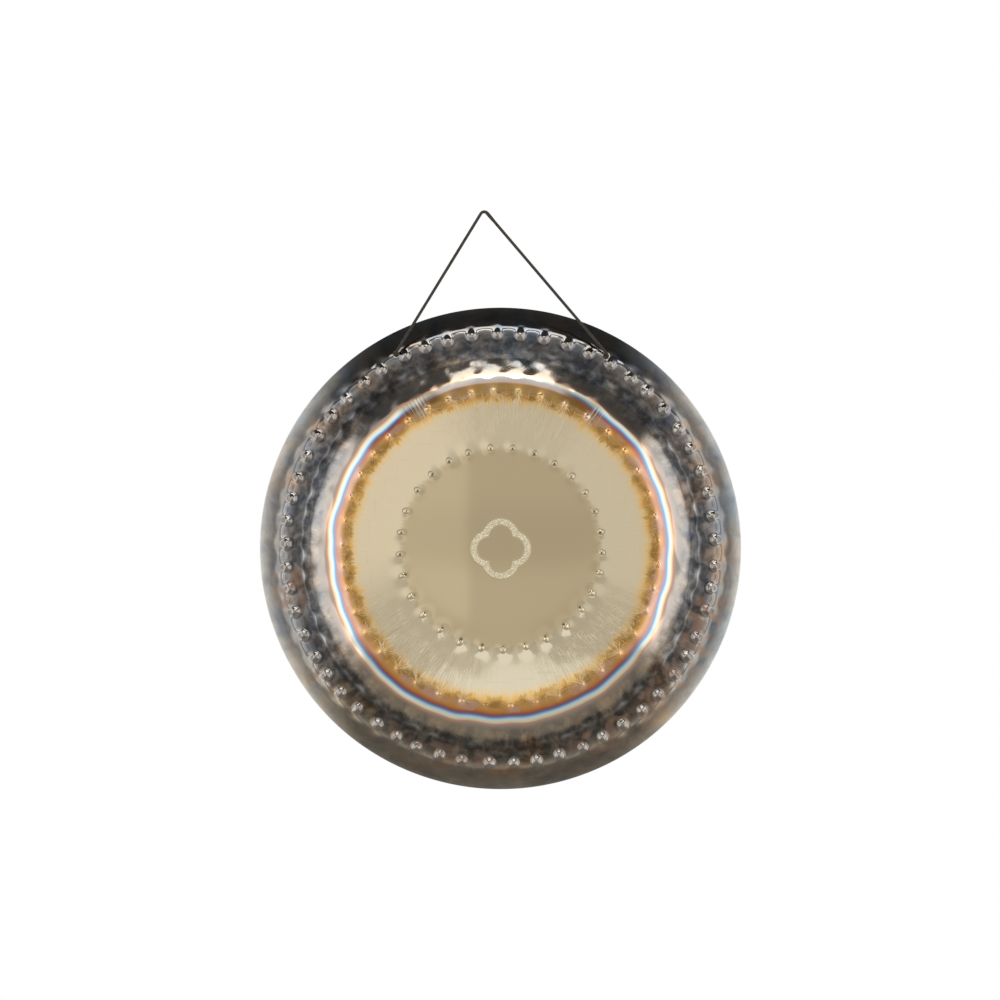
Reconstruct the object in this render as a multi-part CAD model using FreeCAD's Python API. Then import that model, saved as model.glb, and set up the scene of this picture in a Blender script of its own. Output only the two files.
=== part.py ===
"""Tam tam gong: one hammered bronze plate hung on one length of braided cord.

Millimetres: +Z up, +X to the striker's right, -Y towards the striker. The origin is
where the inner side of the cord's apex sits on its hook. The hook bar runs along Y
just under the origin. The plate hangs below, its struck face towards -Y.

The cord is flexible, so its solids are cut where it bends: at the hook (bight to
legs) and in front of each hanging hole (leg to lead). A leg is a capsule whose two
end balls are centred on the two bending axes, so it keeps its clearance at every
angle.
"""

import FreeCAD, Part
import math
import os

V = FreeCAD.Vector

# ---------------------------------------------------------------- plate dimensions
GONG_D = 610.0            # nominal 24 inch plate, over the shoulder
SHEET_T = 1.2             # sheet thickness
PLATE_X = 20.64           # plate centre, beside the hook
PLATE_Z = -423.2          # plate centre, below the hook

# The struck face's meridian: each entry is (radius reached, surface angle there).
# Angle 0 faces the striker, 90 faces outward. Arcs join with common tangents.
MERIDIAN = [
    (123.0, 1.0),         # flat polished centre, slightly crowned
    (185.0, 2.5),         # brushed field
    (208.0, 7.0),         # tempered band
    (223.0, 15.0),        # knee of the face
    (245.0, 17.0),        # sloping dark zone
    (262.0, 9.0),         # run-in to the boss channel
    (274.0, 6.0),         # channel of the large bosses
    (281.0, 29.0),        # ridge
    (303.2, 62.0),        # shoulder
    (GONG_D / 2.0, 90.0), # tight arc into the turned-back rim
]
FLANGE_TURN = 94.0        # the rim is turned back, a little past square
FLANGE_BEND_R = 20.0      # arc from square to the full turn
FLANGE_LEN = 5.6          # straight part of the turned-back rim

# Bosses: ring radius, base radius, height above the sheet, and their angles in
# degrees clockwise from the top, seen from the front. They are punched by hand,
# so the spacing is uneven.
LARGE_BOSSES = (271.0, 7.0, 3.8, [
    5.25, 11.75, 18.25, 24.25, 30.75, 37.25, 43.0, 49.5, 56.25, 62.25,
    69.0, 75.0, 81.25, 87.5, 94.5, 100.5, 106.5, 114.25, 120.0, 126.0,
    132.75, 138.75, 145.25, 151.5, 157.5, 164.0, 170.25, 176.5, 183.0, 190.25,
    196.5, 203.0, 209.0, 215.0, 221.75, 228.0, 234.25, 239.75, 246.5, 253.0,
    259.5, 265.0, 271.25, 277.5, 283.5, 289.25, 295.5, 301.75, 308.0, 314.25,
    320.75, 326.5, 333.75, 339.75, 345.75, 352.25, 359.25,
])
INNER_BOSSES = (126.7, 4.2, 1.9, [
    6.85, 19.8, 32.3, 44.5, 56.5, 68.5, 80.5, 92.25, 103.5, 116.0,
    127.0, 139.75, 153.25, 165.5, 178.5, 190.75, 203.25, 216.75, 229.5, 242.0,
    254.5, 266.75, 279.25, 291.75, 305.25, 317.0, 329.75, 341.5, 354.4,
])
SMALL_BOSSES = (198.9, 3.2, 1.1, [
    6.5, 14.5, 24.0, 33.0, 42.5, 51.5, 60.25, 69.25, 78.0, 87.0,
    95.75, 104.25, 113.0, 122.5, 131.5, 140.5, 149.0, 158.5, 167.25, 176.25,
    185.25, 194.25, 203.0, 212.0, 220.5, 229.0, 238.0, 246.25, 255.5, 264.0,
    272.0, 280.5, 289.25, 298.0, 306.75, 315.0, 324.25, 332.75, 340.75, 349.5,
    357.5,
])
CAP_EMBED = 0.5 * SHEET_T # a boss cap starts this deep in the sheet

HOLE_D = 6.0              # drilled hanging holes
HOLE_ANGLES = {"left": -28.24, "right": 28.74}   # clockwise from the top, from the front
HOLE_SEARCH = (262.0, 281.0)   # the holes lie between these radii
DRILL_LEN = 8.0           # cutting cylinder of a hole
DRILL_LEAD = 3.0          # part of it in front of the sheet

# ---------------------------------------------------------------- cord dimensions
CORD_D = 3.8              # braided cord
CORD_R = CORD_D / 2.0
BEND_R = 4.85             # centre-line radius of the cord over the hook
GAP = 0.30                # clearance at each place where the cord is cut to bend
JOINT_GAP = 0.05          # between the knot and the lead, and the knot and the tail
PIVOT_Z = -3.0            # height of the bending axis at the hook
HINGE_RING_R = 279.9      # the cord bends this far from the plate's centre
STAND_OFF = 5.0           # bending axis in front of the sheet's front surface

KNOT_R = 5.6              # stopper knot's largest radius
KNOT_LEN = 12.0           # stopper knot along the cord
KNOT_OVERRUN = 0.9        # cut off each tip of the knot's ellipsoid
KNOT_BOX = 20.0           # width of the box that trims the tips
KNOT_SEAT_GAP = 0.10      # sheet to knot
TAIL_BEND_R = 9.0         # the loose end droops behind the knot
TAIL_BEND_DEG = 62.0
TAIL_STRAIGHT = 11.0

# Distances along the cord from the bending axis in front of a hole
LEAD_START = CORD_D + GAP                         # centre of the lead's rounded front end
KNOT_START = STAND_OFF + SHEET_T + KNOT_SEAT_GAP  # the knot's flat seat, behind the sheet

BEND_CENTRE = V(0.0, 0.0, CORD_R - BEND_R)        # the cord's inner side touches the origin


# ---------------------------------------------------------------- plate meridian
def sin_deg(angle):
    return math.sin(math.radians(angle))


def cos_deg(angle):
    return math.cos(math.radians(angle))


def meridian_radius(start, end):
    """Signed radius of the arc between two stations."""
    return (end[0] - start[0]) / (sin_deg(end[2]) - sin_deg(start[2]))


def meridian_stations():
    """Stations (radius, depth, angle) of the front surface. All but the last two are
    joined by arcs. Depth grows backwards from the centre of the struck face."""
    r, depth, angle = 0.0, 0.0, 0.0
    stations = [(r, depth, angle)]
    for next_r, next_angle in MERIDIAN:
        bend = (next_r - r) / (sin_deg(next_angle) - sin_deg(angle))
        depth += bend * (cos_deg(angle) - cos_deg(next_angle))
        r, angle = next_r, next_angle
        stations.append((r, depth, angle))
    # the rim passes square, then runs straight
    r += FLANGE_BEND_R * (sin_deg(FLANGE_TURN) - 1.0)
    depth -= FLANGE_BEND_R * cos_deg(FLANGE_TURN)
    stations.append((r, depth, FLANGE_TURN))
    r += FLANGE_LEN * cos_deg(FLANGE_TURN)
    depth += FLANGE_LEN * sin_deg(FLANGE_TURN)
    stations.append((r, depth, FLANGE_TURN))
    return stations


STATIONS = meridian_stations()


def front_at(r):
    """Depth and surface angle of the front surface at a radius on the face."""
    for start, end in zip(STATIONS, STATIONS[1:]):
        r0, depth0, angle0 = start
        if r0 <= r <= end[0]:
            bend = meridian_radius(start, end)
            angle = math.asin(sin_deg(angle0) + (r - r0) / bend)
            return depth0 + bend * (cos_deg(angle0) - math.cos(angle)), math.degrees(angle)
    raise ValueError("radius %s is off the face" % r)


def hole_radius():
    """Radius whose surface normal passes through the bending axis, by bisection."""
    low, high = HOLE_SEARCH
    for _ in range(60):
        middle = (low + high) / 2.0
        _, slope = front_at(middle)
        if middle + STAND_OFF * sin_deg(slope) < HINGE_RING_R:
            low = middle
        else:
            high = middle
    return (low + high) / 2.0


HOLE_R = hole_radius()
HOLE_DEPTH, HOLE_SLOPE = front_at(HOLE_R)
# Y of depth 0, the crown of the face. The hook and the hinges lie at Y = 0.
FACE_Y = STAND_OFF * cos_deg(HOLE_SLOPE) - HOLE_DEPTH


def ring_point(r, angle, y):
    """A point at a radius from the plate's axis and a clockwise angle from the top."""
    return V(PLATE_X + r * sin_deg(angle), y, PLATE_Z + r * cos_deg(angle))


def outward(angle, slope):
    """Unit normal of the front surface, away from the sheet."""
    return V(sin_deg(slope) * sin_deg(angle), -cos_deg(slope), sin_deg(slope) * cos_deg(angle))


# ---------------------------------------------------------------- plate
def section_point(station, inset):
    """A station in the section plane, moved into the sheet by the inset."""
    r, depth, angle = station
    return V(r - inset * sin_deg(angle), depth + inset * cos_deg(angle), 0)


def section_arc(start, end, inset):
    """The arc between two stations, moved into the sheet by the inset."""
    bend = meridian_radius(start, end)
    r, depth, angle = start
    mid_angle = (angle + end[2]) / 2.0
    middle = (
        r + bend * (sin_deg(mid_angle) - sin_deg(angle)),
        depth + bend * (cos_deg(angle) - cos_deg(mid_angle)),
        mid_angle,
    )
    points = [section_point(station, inset) for station in (start, middle, end)]
    return Part.Arc(*points).toShape()


def section_face():
    """The sheet's cross-section in the plane X = radius, Y = depth."""
    curved = STATIONS[:-1]
    edges = [section_arc(start, end, 0.0) for start, end in zip(curved, curved[1:])]
    outer_bend = section_point(STATIONS[-2], 0.0)
    outer_end = section_point(STATIONS[-1], 0.0)
    inner_bend = section_point(STATIONS[-2], SHEET_T)
    # flat back edge, square to the plate's axis
    run = (outer_end.y - inner_bend.y) / sin_deg(FLANGE_TURN)
    inner_end = V(inner_bend.x + run * cos_deg(FLANGE_TURN), outer_end.y, 0)
    edges.append(Part.makeLine(outer_bend, outer_end))
    edges.append(Part.makeLine(outer_end, inner_end))
    edges.append(Part.makeLine(inner_end, inner_bend))
    inward = curved[::-1]
    edges += [section_arc(start, end, SHEET_T) for start, end in zip(inward, inward[1:])]
    edges.append(Part.makeLine(V(0, SHEET_T, 0), V(0, 0, 0)))
    return Part.Face(Part.Wire(edges))


def boss_tools(ring_r, base_r, height, angles):
    """Caps to add in front of the sheet and balls to hollow them from behind."""
    sphere_r = (base_r ** 2 + height ** 2) / (2.0 * height)
    depth, slope = front_at(ring_r)
    latitude = math.degrees(math.asin((sphere_r - height - CAP_EMBED) / sphere_r))
    caps, hollows = [], []
    for angle in angles:
        normal = outward(angle, slope)
        centre = ring_point(ring_r, angle, FACE_Y + depth) - normal * (sphere_r - height)
        caps.append(Part.makeSphere(sphere_r, centre, normal, latitude, 90.0, 360.0))
        hollows.append(Part.makeSphere(sphere_r - SHEET_T, centre))
    return caps, hollows


def hole_drill(angle):
    """Cylinder that cuts a hanging hole, square to the sheet."""
    normal = outward(angle, HOLE_SLOPE)
    start = ring_point(HOLE_R, angle, FACE_Y + HOLE_DEPTH) + normal * DRILL_LEAD
    return Part.makeCylinder(HOLE_D / 2.0, DRILL_LEN, start, normal * -1.0)


def gong_plate():
    sheet = section_face().revolve(V(0, 0, 0), V(0, 1, 0), 360.0)
    sheet.translate(V(PLATE_X, FACE_Y, PLATE_Z))
    all_caps, cutters = [], []
    for bosses in (LARGE_BOSSES, INNER_BOSSES, SMALL_BOSSES):
        caps, hollows = boss_tools(*bosses)
        all_caps += caps
        cutters += hollows
    cutters += [hole_drill(angle) for angle in HOLE_ANGLES.values()]
    body = sheet.fuse(all_caps).cut(cutters)
    # the plate is the largest solid, whatever else the cuts may leave
    return max(body.Solids, key=lambda solid: solid.Volume)


# ---------------------------------------------------------------- cord over the hook
def hinge_point(side):
    """Where the leg's centre-line meets the bending axis in front of its hole."""
    return ring_point(HINGE_RING_R, HOLE_ANGLES[side], 0.0)


def tangent_point(side):
    """Where a leg's centre-line leaves the bend over the hook."""
    reach = hinge_point(side) - BEND_CENTRE
    base = math.atan2(reach.z, reach.x)
    spread = math.acos(BEND_R / math.hypot(reach.x, reach.z))
    angle = base - spread if side == "left" else base + spread
    return BEND_CENTRE + V(BEND_R * math.cos(angle), 0.0, BEND_R * math.sin(angle))


def top_pivot(side):
    """Where the leg's centre-line meets the bending axis at the hook."""
    tangent, hinge = tangent_point(side), hinge_point(side)
    share = (PIVOT_Z - tangent.z) / (hinge.z - tangent.z)
    return tangent + (hinge - tangent) * share


def pipe(path_edges, start, direction):
    """Cord swept along a path."""
    circle = Part.Wire([Part.makeCircle(CORD_R, start, direction)])
    shape = Part.Wire(path_edges).makePipeShell([circle], True, False)
    # the sweep may come back as a bare shell
    return shape.Solids[0] if shape.Solids else Part.Solid(shape)


def bight_end(side):
    """Tangent point, cut end and downward direction of one side of the bight."""
    tangent = tangent_point(side)
    down_leg = hinge_point(side) - tangent
    down_leg.normalize()
    return tangent, top_pivot(side) - down_leg * (CORD_R + GAP), down_leg


def cord_bight():
    """The bend that sits on the hook, with its two short straight ends."""
    left_tangent, left_end, left_down = bight_end("left")
    right_tangent, right_end, _ = bight_end("right")
    crown = BEND_CENTRE + V(0.0, 0.0, BEND_R)
    path = [
        Part.makeLine(left_end, left_tangent),
        Part.Arc(left_tangent, crown, right_tangent).toShape(),
        Part.makeLine(right_tangent, right_end),
    ]
    return pipe(path, left_end, left_down * -1.0)


def cord_leg(side):
    """Capsule from the hook's bending axis to the one in front of the hole."""
    top, bottom = top_pivot(side), hinge_point(side)
    axis = bottom - top
    rod = Part.makeCylinder(CORD_R, axis.Length, top, axis)
    balls = [Part.makeSphere(CORD_R, top), Part.makeSphere(CORD_R, bottom)]
    return rod.fuse(balls).removeSplitter().Solids[0]


# ---------------------------------------------------------------- cord through the holes
def lead_frame(side):
    """The bending point and the direction in which the cord enters its hole."""
    return hinge_point(side), outward(HOLE_ANGLES[side], HOLE_SLOPE) * -1.0


def cord_lead(side):
    """The cord through the hole, with a rounded front end."""
    hinge, inward = lead_frame(side)
    start = hinge + inward * LEAD_START
    length = KNOT_START - JOINT_GAP - LEAD_START
    rod = Part.makeCylinder(CORD_R, length, start, inward)
    return rod.fuse(Part.makeSphere(CORD_R, start)).removeSplitter().Solids[0]


def stopper_knot(side):
    """A plain rounded solid in the place of the overhand knot: an ellipsoid with flat
    ends. Its middle is wider than the hole, so it can't pull through."""
    hinge, inward = lead_frame(side)
    half = KNOT_LEN / 2.0
    stretch = FreeCAD.Matrix()
    stretch.scale(1.0, 1.0, (half + KNOT_OVERRUN) / KNOT_R)
    knot = Part.makeSphere(KNOT_R).transformGeometry(stretch)
    corner = V(-KNOT_BOX / 2.0, -KNOT_BOX / 2.0, -half)
    knot = knot.common(Part.makeBox(KNOT_BOX, KNOT_BOX, KNOT_LEN, corner))
    turn = FreeCAD.Rotation(V(0, 0, 1), inward)
    knot.Placement = FreeCAD.Placement(hinge + inward * (KNOT_START + half), turn)
    return knot.Solids[0]


def cord_tail(side):
    """The loose end: it leaves the knot backwards and droops."""
    hinge, inward = lead_frame(side)
    start = hinge + inward * (KNOT_START + KNOT_LEN + JOINT_GAP)
    down = V(0, 0, -1)
    droop = down - inward * down.dot(inward)
    droop.normalize()
    centre = start + droop * TAIL_BEND_R

    def bend_point(angle):
        along = inward * (TAIL_BEND_R * sin_deg(angle))
        return centre - droop * (TAIL_BEND_R * cos_deg(angle)) + along

    end = bend_point(TAIL_BEND_DEG)
    heading = droop * sin_deg(TAIL_BEND_DEG) + inward * cos_deg(TAIL_BEND_DEG)
    path = [
        Part.Arc(start, bend_point(TAIL_BEND_DEG / 2.0), end).toShape(),
        Part.makeLine(end, end + heading * TAIL_STRAIGHT),
    ]
    return pipe(path, start, inward)


# ---------------------------------------------------------------- export
def main():
    os.makedirs("parts", exist_ok=True)
    nodes = {"gong_plate": gong_plate(), "cord_bight": cord_bight()}
    for side in HOLE_ANGLES:
        for build in (cord_leg, cord_lead, stopper_knot, cord_tail):
            nodes["%s_%s" % (build.__name__, side)] = build(side)
    for name, shape in nodes.items():
        shape.exportStep("parts/%s.step" % name)


main()
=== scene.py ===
# A hammered bronze gong hanging from a hook on one braided cord. The plate stands upright in
# the XZ plane: its struck face looks towards -Y and its rim turns back towards +Y. The cord
# runs over the hook near the origin, down to two holes high in the plate, and is knotted behind
# it. Lengths are millimetres until a mesh is written, in metres. Clock angles are degrees from
# straight up, growing towards +X.
import bpy
import math
import numpy as np
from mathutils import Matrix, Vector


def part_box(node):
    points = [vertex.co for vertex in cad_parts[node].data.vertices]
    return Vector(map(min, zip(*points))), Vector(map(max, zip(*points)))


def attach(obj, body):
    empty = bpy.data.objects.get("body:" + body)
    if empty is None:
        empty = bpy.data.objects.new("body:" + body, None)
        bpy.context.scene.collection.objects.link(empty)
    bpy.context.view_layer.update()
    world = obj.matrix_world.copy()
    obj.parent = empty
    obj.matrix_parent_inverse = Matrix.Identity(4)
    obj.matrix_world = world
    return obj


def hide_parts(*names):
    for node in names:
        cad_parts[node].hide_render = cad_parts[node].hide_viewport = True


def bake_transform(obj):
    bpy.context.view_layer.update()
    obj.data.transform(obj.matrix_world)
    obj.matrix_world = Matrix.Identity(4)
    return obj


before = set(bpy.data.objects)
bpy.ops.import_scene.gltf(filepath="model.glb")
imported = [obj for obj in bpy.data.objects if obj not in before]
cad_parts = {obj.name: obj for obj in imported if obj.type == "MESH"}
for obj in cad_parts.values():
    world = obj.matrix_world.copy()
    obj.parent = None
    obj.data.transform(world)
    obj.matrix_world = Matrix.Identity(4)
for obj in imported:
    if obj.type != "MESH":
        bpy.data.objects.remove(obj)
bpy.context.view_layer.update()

scene = bpy.context.scene

# =============================================================================
# plate dimensions
# =============================================================================
plate_lo, plate_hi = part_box("gong_plate")
CENTRE_X = (plate_lo.x + plate_hi.x) / 2 * 1000.0
CENTRE_Z = (plate_lo.z + plate_hi.z) / 2 * 1000.0
BACK_Y = plate_hi.y * 1000.0

SHEET_T = 1.2
SHOULDER_END_R = 305.0
FLANGE_TURN, FLANGE_BEND_R, FLANGE_LEN = 94.0, 20.0, 5.6

# meridian of the struck face as arcs from the centre: (radius at the arc's end, slope there)
MERIDIAN = [
    (123.0, 1.0), (185.0, 2.5), (208.0, 7.0), (223.0, 15.0), (245.0, 17.0),
    (262.0, 9.0), (274.0, 6.0), (281.0, 29.0), (303.2, 62.0), (SHOULDER_END_R, 90.0),
]

# clock angles of the bosses in the three rings
LARGE = [
    5.25, 11.75, 18.25, 24.25, 30.75, 37.25, 43.0, 49.5, 56.25, 62.25, 69.0, 75.0, 81.25, 87.5,
    94.5, 100.5, 106.5, 114.25, 120.0, 126.0, 132.75, 138.75, 145.25, 151.5, 157.5, 164.0,
    170.25, 176.5, 183.0, 190.25, 196.5, 203.0, 209.0, 215.0, 221.75, 228.0, 234.25, 239.75,
    246.5, 253.0, 259.5, 265.0, 271.25, 277.5, 283.5, 289.25, 295.5, 301.75, 308.0, 314.25,
    320.75, 326.5, 333.75, 339.75, 345.75, 352.25, 359.25,
]
INNER = [
    6.85, 19.8, 32.3, 44.5, 56.5, 68.5, 80.5, 92.25, 103.5, 116.0, 127.0, 139.75, 153.25, 165.5,
    178.5, 190.75, 203.25, 216.75, 229.5, 242.0, 254.5, 266.75, 279.25, 291.75, 305.25, 317.0,
    329.75, 341.5, 354.4,
]
SMALL = [
    6.5, 14.5, 24.0, 33.0, 42.5, 51.5, 60.25, 69.25, 78.0, 87.0, 95.75, 104.25, 113.0, 122.5,
    131.5, 140.5, 149.0, 158.5, 167.25, 176.25, 185.25, 194.25, 203.0, 212.0, 220.5, 229.0,
    238.0, 246.25, 255.5, 264.0, 272.0, 280.5, 289.25, 298.0, 306.75, 315.0, 324.25, 332.75,
    340.75, 349.5, 357.5,
]
LARGE_R, INNER_R, SMALL_R = 271.0, 126.7, 198.9

HOLE_ANGLES = {"left": -28.24, "right": 28.74}
HINGE_RING_R = 279.9        # radius at which the cord bends into the holes

# the ornament engraved at the centre: the outline of four overlapping circles
LOBE_OFF, LOBE_R, STROKE = 15.0, 19.2, 7.0
LOBES = ((LOBE_OFF, 0), (-LOBE_OFF, 0), (0, LOBE_OFF), (0, -LOBE_OFF))
MARK_DEPTH = 0.12

FRONT, BACK, EDGE = 0, 1, 2     # the plate's sides and its material slots


# =============================================================================
# meridian of the plate
# =============================================================================
def build_profile():
    """Radius, depth towards +Y, slope in degrees and arc length, from the centre outwards."""
    rows = [(0.0, 0.0, 0.0, 0.0)]

    def arc(end_slope, end_r=None, bend_r=None):
        r, depth, slope, run = rows[-1]
        start, end = math.radians(slope), math.radians(end_slope)
        if bend_r is None:
            bend_r = (end_r - r) / (math.sin(end) - math.sin(start))
        length = abs(bend_r * math.radians(end_slope - slope))
        count = max(8, int(length / 0.1))
        for i in range(1, count + 1):
            here = slope + (end_slope - slope) * i / count
            now = math.radians(here)
            rows.append((r + bend_r * (math.sin(now) - math.sin(start)),
                         depth + bend_r * (math.cos(start) - math.cos(now)),
                         here, run + length * i / count))

    for end_r, end_slope in MERIDIAN:
        arc(end_slope, end_r=end_r)
    arc(FLANGE_TURN, bend_r=FLANGE_BEND_R)
    r, depth, _, run = rows[-1]
    turn = math.radians(FLANGE_TURN)
    count = 20
    for i in range(1, count + 1):
        along = FLANGE_LEN * i / count
        rows.append((r + along * math.cos(turn), depth + along * math.sin(turn),
                     FLANGE_TURN, run + along))
    return np.array(rows).T


PROFILE_R, PROFILE_DEPTH, PROFILE_SLOPE, PROFILE_RUN = build_profile()
WIDEST = int(np.argmax(PROFILE_R))
WIDEST_RUN = PROFILE_RUN[WIDEST]
END_RUN = PROFILE_RUN[-1]
FACE_Y = BACK_Y - PROFILE_DEPTH[-1]


def run_at(r):
    """Arc length along the meridian at radius r, on the face side of the widest point."""
    return float(np.interp(r, PROFILE_R[:WIDEST], PROFILE_RUN[:WIDEST]))


# =============================================================================
# noise and soft steps
# =============================================================================
def lattice_noise(x, y, scale, seed):
    """Value noise on a seeded lattice with cells of the given size."""
    grid = np.random.default_rng(seed).uniform(-1, 1, (256, 256))
    u, v = x / scale + 57.3, y / scale + 31.7
    i, j = np.floor(u).astype(int), np.floor(v).astype(int)
    fx, fy = u - i, v - j
    fx, fy = fx ** 3 * (fx * (fx * 6 - 15) + 10), fy ** 3 * (fy * (fy * 6 - 15) + 10)
    i0, i1, j0, j1 = i % 256, (i + 1) % 256, j % 256, (j + 1) % 256
    near = grid[i0, j0] * (1 - fx) + grid[i1, j0] * fx
    far = grid[i0, j1] * (1 - fx) + grid[i1, j1] * fx
    return near * (1 - fy) + far * fy


def ring_noise(theta, count, seed):
    """Smooth periodic noise round the plate with `count` cells."""
    cells = np.random.default_rng(seed).uniform(-1, 1, count)
    u = (theta / (2 * np.pi) % 1.0) * count
    i = np.floor(u).astype(int)
    f = u - i
    f = f * f * (3 - 2 * f)
    return cells[i % count] * (1 - f) + cells[(i + 1) % count] * f


def smooth(start, end, x):
    t = np.clip((x - start) / (end - start), 0, 1)
    return t * t * (3 - 2 * t)


def near_angle(clock, centre, half):
    """1 inside centre +- half (degrees), soft over the outer third."""
    away = np.abs((clock - centre + 180.0) % 360.0 - 180.0)
    return 1 - smooth(half * 0.66, half, away)


def bump(r, centre, width):
    return np.exp(-((r - centre) / width) ** 2)


# =============================================================================
# bosses
# =============================================================================
BOSS_RNG = np.random.default_rng(57)


def boss_table(angles, ring_r, base, height, r_spread, height_spread):
    """One row for each boss: (clock angle, ring radius, base radius, height, ovalness)."""
    draw = BOSS_RNG.uniform
    return [(angle + draw(-0.12, 0.12), ring_r + draw(-r_spread, r_spread),
             base * (1 + draw(-0.07, 0.07)), height * (1 + draw(-height_spread, height_spread)),
             draw(-0.10, 0.10)) for angle in angles]


LARGE_BOSSES = boss_table(LARGE, LARGE_R, base=7.2, height=3.2, r_spread=0.8, height_spread=0.14)
INNER_BOSSES = boss_table(INNER, INNER_R, base=3.3, height=1.10, r_spread=0.6,
                          height_spread=0.18)
SMALL_BOSSES = boss_table(SMALL, SMALL_R, base=3.4, height=0.75, r_spread=0.5,
                          height_spread=0.25)

# clock angles halfway between neighbouring large bosses
LARGE_GAPS = [boss[0] + ((LARGE_BOSSES[(n + 1) % len(LARGE_BOSSES)][0] - boss[0]) % 360.0) / 2.0
              for n, boss in enumerate(LARGE_BOSSES)]


def around(x, z, clock, ring_r, reach):
    """Vertices near a place on a ring, with their distances outwards and sideways from it."""
    t = math.radians(clock)
    px, pz = ring_r * math.sin(t), ring_r * math.cos(t)
    sel = np.where((np.abs(x - px) < reach) & (np.abs(z - pz) < reach))[0]
    dx, dz = x[sel] - px, z[sel] - pz
    return sel, dx * math.sin(t) + dz * math.cos(t), dx * math.cos(t) - dz * math.sin(t)


def oval_distance(u, v, oval):
    return np.sqrt((u * (1 + oval)) ** 2 + (v * (1 - oval)) ** 2)


def phase_between(bosses, clock):
    """0 at one boss of a ring, 1 at the next one clockwise."""
    order = np.sort(np.array([boss[0] for boss in bosses]) % 360.0)
    i = np.searchsorted(order, clock)
    lo, hi = order[(i - 1) % len(order)], order[i % len(order)]
    return ((clock - lo) % 360.0) / ((hi - lo) % 360.0)


# =============================================================================
# relief of the struck face
# =============================================================================
# swellings near the top: (clock angle, radius, height, half width)
TOP_SWELLINGS = (
    (-8.6, 241.0, 0.34, 6.6), (5.4, 240.0, 0.30, 5.6), (12.5, 239.0, 0.16, 5.0),
    (-17.0, 239.5, 0.16, 5.0), (-1.5, 239.5, 0.12, 4.6),
)


def add_hammering(h, r, clock, x, z):
    # a step down and up again inside the large bosses, except at the top
    top_half = near_angle(clock, 0, 52)
    dip = 0.62 * smooth(239, 253, r) - 0.50 * smooth(253, 266, r)
    h += 0.14 * smooth(221, 238, r) - dip * (1 - top_half)

    # broad dents over finer ones, calmer at the shoulder and low down
    below = near_angle(clock, 180, 62)
    outer = smooth(206, 232, r) * (1 - 0.60 * smooth(284, 300, r)) * (1 - 0.45 * below)
    h += outer * (0.09 * lattice_noise(x, z, scale=17.0, seed=3)
                  + 0.02 * lattice_noise(x, z, scale=9.0, seed=4)
                  + 0.36 * lattice_noise(x, z, scale=40.0, seed=5))

    # two rows of ripples outside the small bosses, in step with them
    phase = phase_between(SMALL_BOSSES, clock)
    above = near_angle(clock, 0, 42)
    h += (0.04 + 0.09 * above) * bump(r, 219.0, 5.0) * np.cos(2 * np.pi * (phase - 0.30))
    h += ((0.07 + 0.03 * above) * bump(r, 233.0, 7.5) * np.cos(2 * np.pi * (phase - 0.05))
          * (1 - 0.75 * below))
    for angle, ring_r, height, wide in TOP_SWELLINGS:
        sel, u, v = around(x, z, angle, ring_r, reach=26.0)
        h[sel] += height * np.exp(-(u / 5.2) ** 2 - (v / wide) ** 2)


def add_ripples(h, r, theta, clock, x, z):
    # very slight, so that reflections bend but stay smooth
    face = 1 - smooth(190, 215, r)
    h += face * 0.016 * lattice_noise(x, z, scale=75.0, seed=6)
    field = smooth(126, 140, r) * (1 - smooth(196, 212, r))
    h += field * 0.014 * lattice_noise(x, z, scale=30.0, seed=7)

    # fine radial wrinkles, strongest in three places
    strong = (0.10 + 1.0 * near_angle(clock, 137, 34) + 0.9 * near_angle(clock, 219, 34)
              + 0.8 * near_angle(clock, 8, 32))
    strong = np.clip(strong, 0, 1.2)
    wrinkles = (0.26 * ring_noise(theta - 0.0008 * (r - 160), 150, seed=22)
                + 0.85 * ring_noise(theta + 0.0003 * (r - 160), 88, seed=23))
    h += smooth(130, 156, r) * (1 - smooth(192, 206, r)) * strong * 0.024 * wrinkles
    # sharper ones further out, at the upper left and upper right
    sharp = near_angle(clock, -31.5, 7.5) + 0.8 * near_angle(clock, 33.0, 6.0)
    h += (smooth(192, 203, r) * (1 - smooth(218, 226, r)) * sharp * 0.045
          * ring_noise(theta, 380, seed=24))


def add_bosses(h, x, z):
    # large: lumpy, with a faint groove round the foot
    for angle, ring_r, base, height, oval in LARGE_BOSSES:
        sel, u, v = around(x, z, angle, ring_r, reach=24.0)
        rho = oval_distance(u, v, oval)
        body = np.exp(-(rho / (base * 0.70)) ** 2.5)
        lumps = lattice_noise(u * 0.75 + 40.0 * math.sin(7.0 * angle),
                              v * 1.45 + 40.0 * math.cos(5.0 * angle), scale=4.0, seed=40)
        h[sel] += (height + 0.46 * lumps) * body - 0.03 * bump(rho, base * 1.35, base * 0.3)
    # inner: steep towards the centre, drawn out on the outer side, higher low on the plate
    for angle, ring_r, base, height, oval in INNER_BOSSES:
        sel, u, v = around(x, z, angle, ring_r, reach=34.0)
        reach_u = np.where(u < 0, 2.0, 4.4) * base / 4.4
        spread = (u / reach_u) ** 2 + (v / (2.9 * base / 4.4 * (1 + oval))) ** 2
        height = height * (0.86 if 96 < angle % 360.0 < 264 else 0.60)
        h[sel] += height * np.exp(-spread) + 0.215 * np.exp(-((u - 3.0) ** 2 + v * v) / 9.0 ** 2)
    # small: a round cap on a broad low foot
    for angle, ring_r, base, height, oval in SMALL_BOSSES:
        sel, u, v = around(x, z, angle, ring_r, reach=26.0)
        rho = oval_distance(u, v, oval)
        h[sel] += height * np.exp(-(rho / (base * 0.72)) ** 2) + 0.13 * np.exp(-(rho / 8.0) ** 2)


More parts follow.
